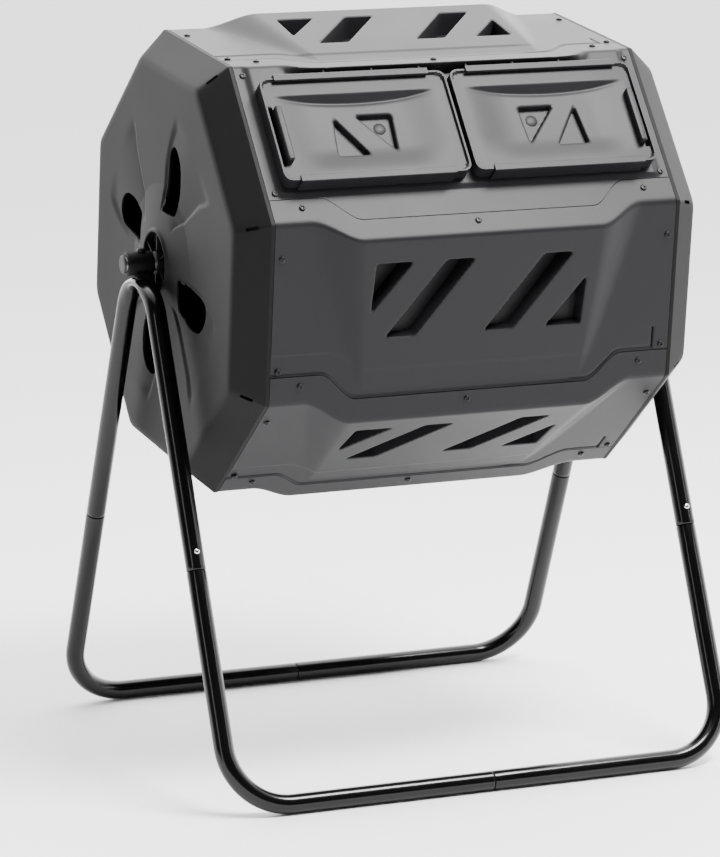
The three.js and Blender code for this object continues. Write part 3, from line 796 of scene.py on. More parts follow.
@dataclass(frozen=True)
class PlainPanel:
    """A side panel: a raised wedge with two slanted slots and two triangles sunk into it."""

    edge: PanelEdge
    crest: float = 21.0
    crest_half: float = 160.0
    shoulder_half: float = 214.0
    foot_half: float = 146.0
    foot_rise: float = 12.0
    softness: float = 4.0
    pocket_low: float = 78.0
    pocket_high: float = 176.0
    pocket_floor: float = -11.5
    pocket_lip: float = 1.1
    pocket_zone: float = 152.0
    grid: float = 1.45
    coarse: float = 3.5
    step_height: float = 1.1
    notch_place: float = 248.0

    def pockets(self) -> list[Outline]:
        """The holes' outlines, in the panel's frame.

        Returns:
            A slot and a triangle, and the same two turned half round about the panel's middle.
        """
        low, high = self.pocket_low, self.pocket_high
        slot = ((-124.0, low), (-83.0, low), (-9.0, high), (-49.0, high))
        triangle = ((-145.0, low + 32.0), (-92.0, high), (-143.0, high))
        turned = [tuple((-x, low + high - y) for x, y in shape) for shape in (slot, triangle)]
        return [Outline(shape, 4.0) for shape in (slot, triangle, *turned)]

    def wedge(self, u: Array, v: Array) -> Array:
        """Height of the wedge: a ramp up to the crest, times a soft flank, cut by the next plane.

        Args:
            u: Place along the panel.
            v: Place up the panel.

        Returns:
            The height, never above the plane of the next panel, 45 degrees further round.
        """
        top = self.edge.height - self.crest
        climb = np.clip((v - self.foot_rise) / (top - self.foot_rise), 0.0, 2.0)
        inner = self.foot_half + (self.crest_half - self.foot_half) * climb
        outer = inner + 4.0 + (self.shoulder_half - self.crest_half) * climb**0.8
        share = np.clip((np.abs(u) - inner) / (outer - inner), 0.0, 1.0)
        flank = 1.0 - share * share * (3.0 - 2.0 * share)
        return soft_min(self.crest * climb * flank, self.edge.height - v, self.softness)

    def step(self, u: Array, v: Array) -> Array:
        """The low step across the foot of the wedge and its notch at the right end.

        Args:
            u: Place along the panel.
            v: Place up the panel.

        Returns:
            How far the surface is let down: below a line that rises towards the left end, in a
            shallow groove just above the seam on the right, and in the short upright notch.
        """
        line = 37.0 + 25.0 * smoothstep(-u, 142.0, 196.0)
        below = (1.0 - smoothstep(v, line - 1.6, line + 1.6)) * (1.0 - smoothstep(u, 120.0, 170.0))
        above_seam = v - self.edge.face_start(u) - 4.0
        stop = 1.0 - smoothstep(u, self.notch_place, self.notch_place + 2.0)
        groove = np.exp(-((above_seam / 1.6) ** 2)) * smoothstep(u, 110.0, 140.0) * stop
        notch = np.exp(-(((u - self.notch_place) / 1.3) ** 2))
        notch = notch * smoothstep(v, 34.0, 37.0) * (1.0 - smoothstep(v, 64.0, 67.0))
        start = self.edge.face_start(u)
        edge_fade = smoothstep(v, start + 0.5, start + 3.0)
        return (self.step_height * below + 1.2 * groove + 3.0 * notch) * edge_fade

    def shell(self) -> Patch:
        """The whole panel, with its grid points slid onto the pockets' edges first.

        Returns:
            The closed shell in the panel's frame: wedge less step, with the pockets sunk in.
        """
        half, zone, notch = self.edge.half_length, self.pocket_zone, self.notch_place
        stops = [-half, -zone, zone, notch - 3.0, notch + 3.0, half]
        coarse = self.coarse
        columns = spans(stops, [coarse, self.grid, coarse, 0.75, coarse])
        straight = spans([self.pocket_low - 6.0, self.pocket_high + 6.0], [self.grid])
        v = self.edge.rows(columns, straight)
        u = np.broadcast_to(columns, v.shape).copy()
        for pocket in self.pockets():
            u, v = pocket.snapped(u, v, pocket_lines(self.grid), SNAP_SHARE * self.grid)
        w = self.wedge(u, v) - self.step(u, v)
        for pocket in self.pockets():
            away = pocket.distance(u, v)
            w = sunk(w, away, self.grid, self.pocket_lip, self.pocket_floor)
        return self.edge.shell(u, v, w)


@dataclass(frozen=True)
class DoorPanel:
    """The panel that carries the doors: a platform with two doorways, a ridge, rails and ribs."""

    edge: PanelEdge
    crest_half: float = 160.0
    shoulder_half: float = 214.0
    ridge_foot: float = 199.5
    ridge_slope: float = 2.2
    platform: float = 3.0
    platform_half: float = 256.0
    platform_low: float = 40.0
    doorway_u: tuple[float, float] = (22.0, 232.0)
    doorway_v: tuple[float, float] = (62.0, 182.0)
    rail_u: tuple[float, float] = (26.0, 231.0)
    rail_v: tuple[float, float] = (45.5, 198.5)
    rail_wall: float = 2.5
    rail_lip: float = 9.0
    rail_top: float = 24.0
    rail_under: float = 22.0
    rib_pitch: float = 64.0
    rib_top: float = 17.0

    def height(self, u: Array, v: Array) -> Array:
        """Platform and ridge: the higher of the two, under the plane of the next panel.

        Args:
            u: Place along the panel.
            v: Place up the panel.

        Returns:
            The height.
        """
        sides = 1.0 - smoothstep(np.abs(u), self.platform_half - 6.0, self.platform_half + 4.0)
        climb = smoothstep(v, self.platform_low - 5.0, self.platform_low + 3.0)
        raised = self.platform * sides * climb
        flank = 1.0 - smoothstep(np.abs(u), self.crest_half, self.shoulder_half)
        wall = self.ridge_slope * (v - self.ridge_foot) * flank
        lifted = np.maximum(raised, np.clip(wall, 0.0, 60.0))
        return soft_min(lifted, self.edge.height - v, 3.0)

    def rail(self, side: int, upper: bool) -> Patch:
        """A rail of L section: an upright wall and a lip that reaches over the door's edge.

        Args:
            side: -1 for the left door's rail, +1 for the right one's.
            upper: Whether it is the rail along the doors' upper edge.

        Returns:
            The closed bar in the panel's frame.
        """
        place = self.rail_v[1] if upper else self.rail_v[0]
        inward = -1.0 if upper else 1.0
        outline = [
            (0.0, 0.5),
            (self.rail_wall, 0.5),
            (self.rail_wall, self.rail_under),
            (self.rail_lip, self.rail_under),
            (self.rail_lip, self.rail_top - 0.6),
            (self.rail_lip - 0.6, self.rail_top),
            (0.8, self.rail_top),
            (0.0, self.rail_top - 0.8),
        ]
        placed = [(place + inward * y, z) for y, z in outline]
        if inward < 0:
            placed.reverse()
        low, high = sorted((side * self.rail_u[0], side * self.rail_u[1]))
        return extruded(placed, low, high)

    def rib(self, u: float) -> Patch:
        """A thin rib across the trough between the upper rail and the ridge.

        Args:
            u: Its place along the panel.

        Returns:
            The closed rib in the panel's frame.
        """
        low, high = self.rail_v[1] - 0.5, self.ridge_foot + 8.0
        outline = [(low, 1.0), (high, 1.0), (high, self.rib_top - 2.0), (low, self.rib_top)]
        return extruded(outline, u - 1.0, u + 1.0)

    def shell(self) -> list[Patch]:
        """Panel, rails and ribs, with grid lines along the doorways' edges.

        Returns:
            The closed pieces in the panel's frame.
        """
        inner, outer = self.doorway_u
        half = self.edge.half_length
        right = [0.0, inner, outer, self.platform_half - 6.0, half]
        columns = spans(right, [5.0, 6.0, 2.5, 2.5])
        columns = np.concatenate([-columns[:0:-1], columns])
        middle = spans([46.0, self.doorway_v[0], self.doorway_v[1], 200.0], [2.5, 6.0, 2.5])
        v = self.edge.rows(columns, middle)
        u = np.broadcast_to(columns, v.shape).copy()
        w = self.height(u, v)
        surface = grid_patch(np.stack([u, v, w], axis=-1))
        centre = surface.points[surface.quads].mean(axis=1)
        across, up = np.abs(centre[:, 0]), centre[:, 1]
        low, high = self.doorway_v
        gone = (across > inner) & (across < outer) & (up > low) & (up < high)
        points = surface.points.copy()
        points[: 2 * len(columns), 2] -= self.edge.border_depth
        body = Patch(points, surface.quads[~gone]).thickened(self.edge.wall)
        rails = [self.rail(side, upper) for side in (-1, 1) for upper in (False, True)]
        ribs = [self.rib(side * (k + 0.5) * self.rib_pitch) for side in (-1, 1) for k in range(3)]
        return [body, *rails, *ribs]


@dataclass(frozen=True)
class SlidingDoor:
    """A door: a thin rim round a dished face with a crescent step, two triangles and a grip."""

    inner: float = 3.0
    outer: float = 251.0
    low: float = 49.0
    high: float = 195.0
    corner: float = 13.0
    base: float = 3.5
    face: float = 17.5
    rim: float = 21.5
    wall: float = 2.0
    rim_width: float = 2.4
    dish: float = 4.8
    bowl_u: tuple[float, float] = (21.0, 239.0)
    crescent: float = 170.0
    crescent_width: float = 11.0
    crescent_dip: float = 1.6
    trench: float = 8.0
    pocket_floor: float = 5.2
    pocket_lip: float = 0.8
    grid: float = 1.45
    coarse: float = 1.9
    grip_u: tuple[float, float] = (233.0, 242.0)
    grip_v: tuple[float, float] = (75.0, 152.0)
    grip_top: float = 28.0

    def triangles(self) -> list[Outline]:
        """The two sunk triangles' outlines.

        Returns:
            The outer lower one and the inner upper one, for a door on the right.
        """
        outer_one = ((164.0, 141.0), (125.0, 83.0), (170.0, 83.0))
        inner_one = ((136.0, 141.0), (85.0, 141.0), (89.0, 85.0))
        return [Outline(outer_one, 4.0), Outline(inner_one, 4.0)]

    def top(self, u: Array, v: Array) -> Array:
        """Height of the dished face.

        Args:
            u: Distance from the middle of the barrel.
            v: Place up the panel.

        Returns:
            face less a flat-bottomed bowl that ramps up at both ends and towards the lower edge.
            Its upper side is the crescent: it falls from a straight chord to an arched lower edge,
            where it dips a little more. A trench runs between the grip and the rim.
        """
        middle, half = sum(self.bowl_u) / 2, (self.bowl_u[1] - self.bowl_u[0]) / 2
        arch = np.clip(1.0 - ((u - middle) / half) ** 2, 0.0, 1.0)
        drop = self.crescent - v
        width = self.crescent_width * arch + 0.6
        sunk = 1.0 - (1.0 - np.clip(drop / width, 0.0, 1.0)) ** 1.6
        ends = smoothstep(u, 18.0, 76.0) * (1.0 - smoothstep(u, 182.0, 240.0))
        bowl = self.dish * ends**0.8 * sunk * smoothstep(v, 56.0, 98.0)
        dip = self.crescent_dip * arch * np.exp(-(((drop - width) / 3.0) ** 2))
        (_, grip_side), (low, high) = self.grip_u, self.grip_v
        beside = smoothstep(u, grip_side - 0.5, grip_side + 1.0)
        beside = beside * smoothstep(v, low - 4.0, low) * (1.0 - smoothstep(v, high, high + 4.0))
        return self.face - bowl - dip - self.trench * beside

    def shell(self, side: int) -> list[Patch]:
        """The door in the panel's frame.

        Args:
            side: -1 for the left door, +1 for the right one.

        Returns:
            The closed body, its grip and the small round mark on the inner triangle's floor.
        """
        g, coarse = self.grid, self.coarse
        columns = spans([self.inner - g, 84.0, 172.0, self.outer + g], [coarse, g, coarse])
        straight = spans([self.low - g, 80.0, 144.0, self.high + g], [coarse, g, coarse])
        u, v = np.meshgrid(columns, straight)
        near, far, low, high = self.inner, self.outer, self.low, self.high
        border = Outline(((near, low), (far, low), (far, high), (near, high)), self.corner)
        steps = (1.9, 0.0, -1.2, -self.rim_width, -self.rim_width - 1.5, -self.rim_width - 3.2)
        u, v = border.snapped(u, v, steps, 0.8)
        for triangle in self.triangles():
            u, v = triangle.snapped(u, v, pocket_lines(g), SNAP_SHARE * g)
        away = border.distance(u, v)
        on_rim = away > -self.rim_width - 0.1
        top = np.where(on_rim, self.rim, self.top(u, v))
        under = np.where(on_rim, self.base, top - self.wall)
        for triangle in self.triangles():
            depth = triangle.distance(u, v)
            top = sunk(top, depth, g, self.pocket_lip, self.pocket_floor)
            under = np.where(depth < pocket_lines(g)[0] + 0.1, self.base, under)
        surface = grid_patch(np.stack([side * u, v, top], axis=-1))
        if side < 0:
            surface = surface.reversed_faces()
        surface = surface.without(away.ravel() > 0.05)
        lower = surface.points.copy()
        lower[:, 2] = under.ravel()
        body = surface.walled(lower)
        (u0, u1), (v0, v1) = self.grip_u, self.grip_v
        grip = rounded_bar((u1 - u0, v1 - v0, self.grip_top - self.face + 1.0), 2.0)
        grip = moved(grip, UNTURNED, (side * (u0 + u1) / 2, (v0 + v1) / 2, self.face - 1.0))
        mark = lathe([(0.0, -0.5), (8.0, -0.5), (8.0, 0.3), (7.5, 0.6), (0.0, 0.6)], 40)
        mark = moved(mark, UPRIGHT, (side * 103.0, 124.0, self.pocket_floor))
        return [body, grip, mark]


@dataclass(frozen=True)
class EndCap:
    """An end cap: hub ring and cone, a flat face with vents and petals, and a bevelled edge."""

    apothem: float = 274.0
    seam_x: float = 270.0
    lip: float = 5.0
    face_apothem: float = 243.0
    face_x: float = 312.0
    corner: float = 22.0
    hub_x: float = 322.5
    hub_radius: float = 42.0
    cone_drop: float = 3.0
    hub_ribs: int = 6
    boss_radius: float = 100.0
    bore: float = 10.8
    sleeve: float = 14.3
    wall: float = 2.6
    columns: int = 384
    petal_depth: float = 3.6
    slot_depth: float = 5.0

    QUARTERS = tuple(quarter * math.pi / 2 for quarter in range(4))
    PETAL_START = ((75.0, 125.0, 156.0, 192.0, 215.0), (1.0, 2.0, 5.0, 10.0, 14.0))
    PETAL_END = (
        (75.0, 100.0, 134.0, 159.0, 194.0, 215.0),
        (42.0, 48.0, 50.0, 51.0, 55.0, 58.0),
    )

    def vent(self) -> Outline:
        """One leaf-shaped vent, in (distance towards the front, distance up) from the axle."""
        leaf = ((4.0, 68.0), (8.0, 110.0), (12.0, 142.0), (19.0, 153.0), (32.0, 157.0))
        return Outline((*leaf, (48.0, 150.0), (59.0, 134.0), (60.0, 104.0), (46.0, 69.0)), 5.0)

    def boundary(self, angle: Array, apothem: float, corner: float) -> Array:
        """Radius of an octagon with rounded corners, flats at the eighths of a turn.

        Args:
            angle: Angle about the axle.
            apothem: Distance of the flats.
            corner: Radius of the corners.

        Returns:
            The flat's radius, or the corner arc's where the ray meets that.
        """
        eighth = math.pi / 4
        from_corner = (angle % eighth) - eighth / 2
        flat = apothem / np.cos(eighth / 2 - np.abs(from_corner))
        if corner <= 0.0:
            return flat
        centre = (apothem - corner) / math.cos(eighth / 2)
        aside = centre * np.sin(from_corner)
        arc = centre * np.cos(from_corner) + np.sqrt(np.maximum(corner**2 - aside**2, 0.0))
        touch = math.atan2(corner * math.sin(eighth / 2), centre + corner * math.cos(eighth / 2))
        return np.where(np.abs(from_corner) < touch, arc, flat)

    def petals(self, radius: Array, angle: Array) -> Array:
        """Relief of the petals: sharp along two curved edges, swelling between them.

        PETAL_START and PETAL_END hold the edges' radii and their angles in degrees.

        Args:
            radius: Distance from the axle.
            angle: Angle from the top towards the front.

        Returns:
            How far the face is let in: deepest at a petal's edges, nothing at its middle, and
            fading out beyond the vents and near the hub.
        """
        turn = np.degrees(angle) % 90.0
        first = np.interp(radius, *self.PETAL_START)
        second = np.interp(radius, *self.PETAL_END)
        share = (turn - first) / (second - first)
        inside = smoothstep(share, -0.01, 0.05) * (1.0 - smoothstep(share, 0.95, 1.01))
        swell = 1.0 - np.sin(np.pi * np.clip(share, 0.0, 1.0)) ** 0.7
        fade = smoothstep(radius, 62.0, 84.0) * (1.0 - smoothstep(radius, 178.0, 200.0))
        return self.petal_depth * inside * swell * fade

    def angles(self) -> Array:
        """Angles of the shell's columns.

        Returns:
            Even ones, and pairs either side of each bevel crease for its slot, in rising order.
        """
        even = np.arange(self.columns) * 2.0 * np.pi / self.columns
        crease = (np.arange(8) + 0.5) * np.pi / 4
        extra = [crease + math.radians(shift) for shift in (-0.46, -0.38, 0.38, 0.46)]
        return np.sort(np.concatenate([even, *extra]))

    def face(self) -> Patch:
        """The moulded shell from the hub cone out to the skirt, with its vents.

        Returns:
            The closed shell for the left end, in the barrel's frame.
        """
        angle = self.angles()
        cone_top = self.hub_radius + 2.0
        cone = spans([cone_top, 60.0, 166.0, 205.0], [3.0, 2.0, 5.0])
        flat = self.boundary(angle, self.face_apothem - 5.0, self.corner)
        inner = np.broadcast_to(cone[:, None], (len(cone), len(angle)))
        share = np.linspace(0.0, 1.0, 8)[1:, None]
        outer = cone[-1] + share * (flat - cone[-1])
        radius = np.concatenate([inner, outer])
        radius, phi = self.on_vents(radius, np.broadcast_to(angle, radius.shape))
        height = self.face_x - self.petals(radius, phi)
        climb = np.clip((self.boss_radius - radius) / (self.boss_radius - cone_top), 0.0, 1.0)
        height = height + (self.hub_x - self.cone_drop - self.face_x) * climb
        bevel = self.bevel_rows(angle)
        x, r, turn = np.moveaxis(
            np.concatenate([np.stack([height, radius, phi], axis=-1), bevel]), -1, 0
        )
        points = np.stack([-x, -r * np.sin(turn), r * np.cos(turn)], axis=-1)
        surface = grid_patch(points, around=True)
        away = np.concatenate([self.vent_distance(radius, phi), np.full(bevel.shape[:2], FAR)])
        return surface.without(away.ravel() < HOLE_TRIM).thickened(self.wall)

    def on_vents(self, radius: Array, angle: Array) -> tuple[Array, Array]:
        """Slides grid points onto the vents' edges.

        Args:
            radius: Distance of each point from the axle.
            angle: Angle of each point from the top towards the front.

        Returns:
            The new distances and angles.
        """
        for turn in self.QUARTERS:
            across, out = radius * np.sin(angle - turn), radius * np.cos(angle - turn)
            x, y = self.vent().snapped(across, out, (2.4, 0.0, -2.4), 1.2)
            shift = np.arctan2(x, y) - np.arctan2(across, out)
            new_radius = np.hypot(x, y)
            close = (out > 0.0) & (across > 0.0)
            radius = np.where(close, new_radius, radius)
            angle = np.where(close, angle + shift, angle)
        return radius, angle

    def vent_distance(self, radius: Array, angle: Array) -> Array:
        """Distance beyond the nearest vent's edge.

        Args:
            radius: Distance of each point from the axle.
            angle: Angle of each point from the top towards the front.

        Returns:
            The distance, negative inside a vent.
        """
        least = np.full(radius.shape, FAR)
        for turn in self.QUARTERS:
            across, out = radius * np.sin(angle - turn), radius * np.cos(angle - turn)
            away = self.vent().distance(across, out)
            least = np.minimum(least, np.where(out > 0.0, away, FAR))
        return least

    def bevel_rows(self, angle: Array) -> Array:
        """Rows over the rounded edge of the face, down the bevel, over the lip and along the skirt.

        Args:
            angle: The column angles.

        Returns:
            (x, radius, angle) by row and column. The slots let the middle of each crease in.
        """
        top = self.boundary(angle, self.face_apothem, self.corner)
        foot = self.boundary(angle, self.apothem, 3.0)
        drop = self.face_x - self.seam_x - self.lip
        slot_start, slot_end = 0.34, 0.66
        shares = [0.0, 0.04, 0.1, 0.2, 0.33, slot_start, 0.5, slot_end, 0.67, 0.8, 0.92, 1.0]
        shares = np.array(shares)
        depth = np.zeros((len(shares), len(angle)))
        crease = np.abs((angle % (np.pi / 4)) - np.pi / 8) * 280.0
        within = (shares >= slot_start) & (shares <= slot_end)
        depth[np.ix_(within, crease < 2.0)] = self.slot_depth
        ease = np.where(shares[:, None] < 0.12, (0.12 - shares[:, None]) ** 2 * 90.0, 0.0)
        bevel_x = self.face_x - drop * shares[:, None] - depth * 0.65 - ease
        bevel_r = top + (foot - top) * shares[:, None] - depth * 0.75
        skirt = self.boundary(angle, self.apothem - 6.6, 0.0)
        tail_x = np.array([self.seam_x + 0.3, self.seam_x + 0.3, self.seam_x - 30.0])
        tail_r = np.stack([foot, skirt, skirt])
        x = np.concatenate([bevel_x, np.broadcast_to(tail_x[:, None], tail_r.shape)])
        radius = np.concatenate([bevel_r, tail_r])
        return np.stack([x, radius, np.broadcast_to(angle, x.shape)], axis=-1)

    def hub(self) -> list[Patch]:
        """Hub ring, its floor with the bearing sleeve, and the ribs between them.

        Returns:
            The closed pieces for the left end, in the barrel's frame.
        """
        back = self.face_x - self.wall
        profile = [
            (self.bore, self.face_x - 14.0),
            (self.bore, self.hub_x - 1.6),
            (self.bore + 0.6, self.hub_x - 1.0),
            (self.sleeve - 0.6, self.hub_x - 1.0),
            (self.sleeve, self.hub_x - 1.6),
            (self.sleeve, self.face_x),
            (self.hub_radius - 3.0, self.face_x),
            (self.hub_radius - 3.0, self.hub_x - 0.7),
            (self.hub_radius - 2.3, self.hub_x),
            (self.hub_radius - 0.8, self.hub_x),
            (self.hub_radius, self.hub_x - 0.8),
            (self.hub_radius + 2.5, self.hub_x - 3.2),
            (self.hub_radius + 6.0, self.hub_x - 4.2),
            (self.hub_radius + 6.0, self.hub_x - 6.4),
            (self.hub_radius, back),
            (self.sleeve, back),
            (self.sleeve, self.face_x - 14.0),
            (self.bore, self.face_x - 14.0),
        ]
        ring = lathe([(radius, -x) for radius, x in profile], 96)
        rib_top = self.hub_x - self.cone_drop
        section = [(-1.0, 0.0), (1.0, 0.0), (1.0, 27.0), (-1.0, 27.0)]
        rib = extruded(section, 0.0, rib_top - self.face_x)
        raised = moved(rib, UNTURNED, (-rib_top, 0.0, self.sleeve - 2.0))
        ribs = []
        for turn in np.arange(self.hub_ribs) * 2.0 * math.pi / self.hub_ribs:
            c, s = math.cos(turn), math.sin(turn)
            ribs.append(moved(raised, [[1, 0, 0], [0, c, -s], [0, s, c]]))
        return [ring, *ribs]

    def patches(self, side: int) -> list[Patch]:
        """The cap in the barrel's frame; the right one is the left one turned half round Z."""
        flip = np.diag([-side, -side, 1.0])
        return [moved(patch, flip) for patch in [self.face(), *self.hub()]]


@dataclass(frozen=True)
class PanelScrew:
    """A small pan-head screw with a cross recess."""

    radius: float = 4.1
    height: float = 2.3
    recess: float = 1.3

    def patch(self, u: float, v: float) -> Patch:
        """The screw standing on a panel's plane.

        The head is a flattened dome, height times the fourth root of 1 - (r/R)^4, less a cross.

        Args:
            u: Place along the panel.
            v: Place up the panel.

        Returns:
            The screw in the panel's frame.
        """
        share = np.array([1.0, 1.0, 0.96, 0.85, 0.7, 0.56, 0.42, 0.28, 0.14, 0.0])
        angle = np.linspace(0.0, 2.0 * np.pi, 24, endpoint=False) + u
        x = self.radius * share[:, None] * np.cos(angle)
        y = self.radius * share[:, None] * np.sin(angle)
        dome = self.height * np.maximum(1.0 - share[:, None] ** 4, 0.0) ** 0.25
        along = np.abs(x * math.cos(v) - y * math.sin(v))
        aside = np.abs(x * math.sin(v) + y * math.cos(v))
        near, far = np.minimum(along, aside), np.maximum(along, aside)
        cross = (1.0 - smoothstep(near, 0.45, 0.8)) * (1.0 - smoothstep(far, 1.9, 2.4))
        dome = dome - self.recess * cross
        dome[0] = -1.0
        points = np.stack([x + u, y + v, dome], axis=-1)
        return grid_patch(points, around=True)


@dataclass
class Barrel:
    """The turning barrel: eight panels, two doors, two end caps, a partition and the screws."""

    shop: Workshop
    place: BarrelFrame = field(default_factory=BarrelFrame)

    PLAIN = (
        ("top_panel", 2),
        ("front_panel", 0),
        ("lower_front_panel", -1),
        ("bottom_panel", -2),
        ("lower_back_panel", -3),
        ("back_panel", 4),
        ("upper_back_panel", 3),
    )
    DOOR_FACE = 1

    def edge(self) -> PanelEdge:
        """The seam and flange that every panel has."""
        return PanelEdge(self.place.panel_height, self.place.half_length)

    def build_panels(self) -> None:
        """Makes the seven plain panels from one shell, and the door panel."""
        plain = PlainPanel(self.edge()).shell()
        for name, eighths in self.PLAIN:
            made = finished_object(f"{name}_moulding", [self.place.on_face(plain, eighths)])
            self.shop.fit(made, "barrel", FinishBook.PANEL, Slot.PANEL, [name])
        shells = DoorPanel(self.edge()).shell()
        patches = [self.place.on_face(patch, self.DOOR_FACE) for patch in shells]
        made = finished_object("door_panel_moulding", patches, merge=True)
        self.shop.fit(made, "barrel", FinishBook.PANEL, Slot.PANEL, ["door_panel"])

    def build_doors(self) -> None:
        """Makes the two sliding doors, each on its own body."""
        for name, side in (("left_door", -1), ("right_door", 1)):
            shells = SlidingDoor().shell(side)
            patches = [self.place.on_face(patch, self.DOOR_FACE) for patch in shells]
            made = finished_object(f"{name}_moulding", patches, merge=True)
            self.shop.fit(made, name, FinishBook.PANEL, Slot.PANEL, [name])

    def build_caps(self) -> None:
        """Makes the end caps and dresses the partition."""
        for name, side in (("left_end_cap", -1), ("right_end_cap", 1)):
            patches = [self.place.lifted(patch) for patch in EndCap().patches(side)]
            made = finished_object(f"{name}_moulding", patches, merge=True)
            self.shop.fit(made, "barrel", FinishBook.CAP, Slot.CAP, [name])
        self.shop.dress_node("partition", FinishBook.CAP)

    def build_screws(self) -> None:
        """Sets the screws: four near the ends of each face and three along each flange."""
        screw = PanelScrew()
        patches = []
        for eighths in range(8):
            rows = (44.0, 213.0) if eighths == self.DOOR_FACE else (42.0, 184.0)
            places = [(side * 260.0, v) for side in (-1, 1) for v in rows]
            places += [(-230.0, 22.0), (230.0, 22.0), (-5.0, -10.0)]
            patches += [self.place.on_face(screw.patch(u, v), eighths) for u, v in places]
        made = finished_object("panel_screws", patches, merge=True)
        self.shop.fit(made, "barrel", FinishBook.SCREW)

    def build(self) -> None:
        """Builds the whole barrel."""
        self.build_panels()
        self.build_doors()
        self.build_caps()
        self.build_screws()


# ------------------------------------------------------------------ stand and axle


@dataclass(frozen=True)
class BentPath:
    """A straight run, an arc round a corner, and a second straight run, by length along it."""

    start: Array
    corner: Array
    end: Array
    radius: float

    def parts(self) -> tuple[Array, Array, Array, float, float, float]:
        """The path's directions and lengths.

        Returns:
            Direction before the bend, direction after it, the side the bend turns to, the
            angle of the bend, and the lengths at which the arc starts and the path ends.
        """
        ahead = self.corner - self.start
        onward = self.end - self.corner
        first, second = np.linalg.norm(ahead), np.linalg.norm(onward)
        ahead, onward = ahead / first, onward / second
        turn = math.acos(float(np.clip(ahead @ onward, -1.0, 1.0)))
        aside = onward - ahead * float(ahead @ onward)
        aside = aside / np.linalg.norm(aside)
        cut = self.radius * math.tan(turn / 2)
        total = first + second - 2 * cut + self.radius * turn
        return ahead, onward, aside, turn, first - cut, total

    def frame_at(self, length: Array) -> tuple[Array, Array, Array]:
        """Centre, inward normal and binormal at lengths along the path.

        Args:
            length: Lengths, of any shape.

        Returns:
            Points and unit vectors: straight, then centre + R sin a ahead + R(1 - cos a) aside,
            then straight again.
        """
        ahead, onward, aside, turn, arc_start, _ = self.parts()
        bent = np.clip((length - arc_start) / self.radius, 0.0, turn)
        before = np.minimum(length, arc_start)
        after = np.maximum(length - arc_start - self.radius * turn, 0.0)
        point = (
            self.start
            + before[..., None] * ahead
            + (self.radius * np.sin(bent))[..., None] * ahead
            + (self.radius * (1.0 - np.cos(bent)))[..., None] * aside
            + after[..., None] * onward
        )
        inward = np.cos(bent)[..., None] * aside - np.sin(bent)[..., None] * ahead
        binormal = np.broadcast_to(np.cross(ahead, aside), point.shape)
        return point, inward, binormal


@dataclass(frozen=True)
class Tube:
    """A round tube along a bent path, with an optional hole and reduced ends."""

    path: BentPath
    lengths: Array
    radii: Array
    wall: float = 1.2
    sides: int = 48
    hole_at: float | None = None
    hole_towards: Array | None = None
    hole_radius: float = 3.9
    hole_ring: float = 1.6

    def surface(self) -> Patch:
        """The tube's outer face: centre + r cos t inward + r sin t binormal.

        Returns:
            The open surface, with grid points slid onto the hole's edge and its faces taken out.
        """
        angle = np.linspace(0.0, 2.0 * np.pi, self.sides, endpoint=False)
        length, theta = np.meshgrid(self.lengths, angle, indexing="ij")
        radius = np.broadcast_to(self.radii[:, None], length.shape)
        away = np.full(length.shape, FAR)
        if self.hole_at is not None:
            _, inward, binormal = self.path.frame_at(np.array([self.hole_at]))
            side, front = binormal[0] @ self.hole_towards, inward[0] @ self.hole_towards
            middle = math.atan2(float(side), float(front))
            bend = (theta - middle + np.pi) % (2.0 * np.pi) - np.pi
            along, across = length - self.hole_at, radius * bend
            distance = np.hypot(along, across)
            lines = self.hole_radius + self.hole_ring * np.array([1.0, 0.0, -1.0])
            target = lines[np.argmin(np.abs(distance[..., None] - lines), axis=-1)]
            near = np.abs(distance - target) < 0.85
            scale = np.where(near, target / np.maximum(distance, 1e-6), 1.0)
            length = self.hole_at + along * scale
            theta = np.where(near, middle + across * scale / radius, theta)
            away = np.where(near, target, distance) - self.hole_radius
        point, inward, binormal = self.path.frame_at(length)
        ring = np.cos(theta)[..., None] * inward + np.sin(theta)[..., None] * binormal
        patch = grid_patch(point + radius[..., None] * ring, around=True)
        return patch.without(away.ravel() < HOLE_TRIM)

    def patch(self) -> Patch:
        """The closed tube."""
        return self.surface().thickened(self.wall)


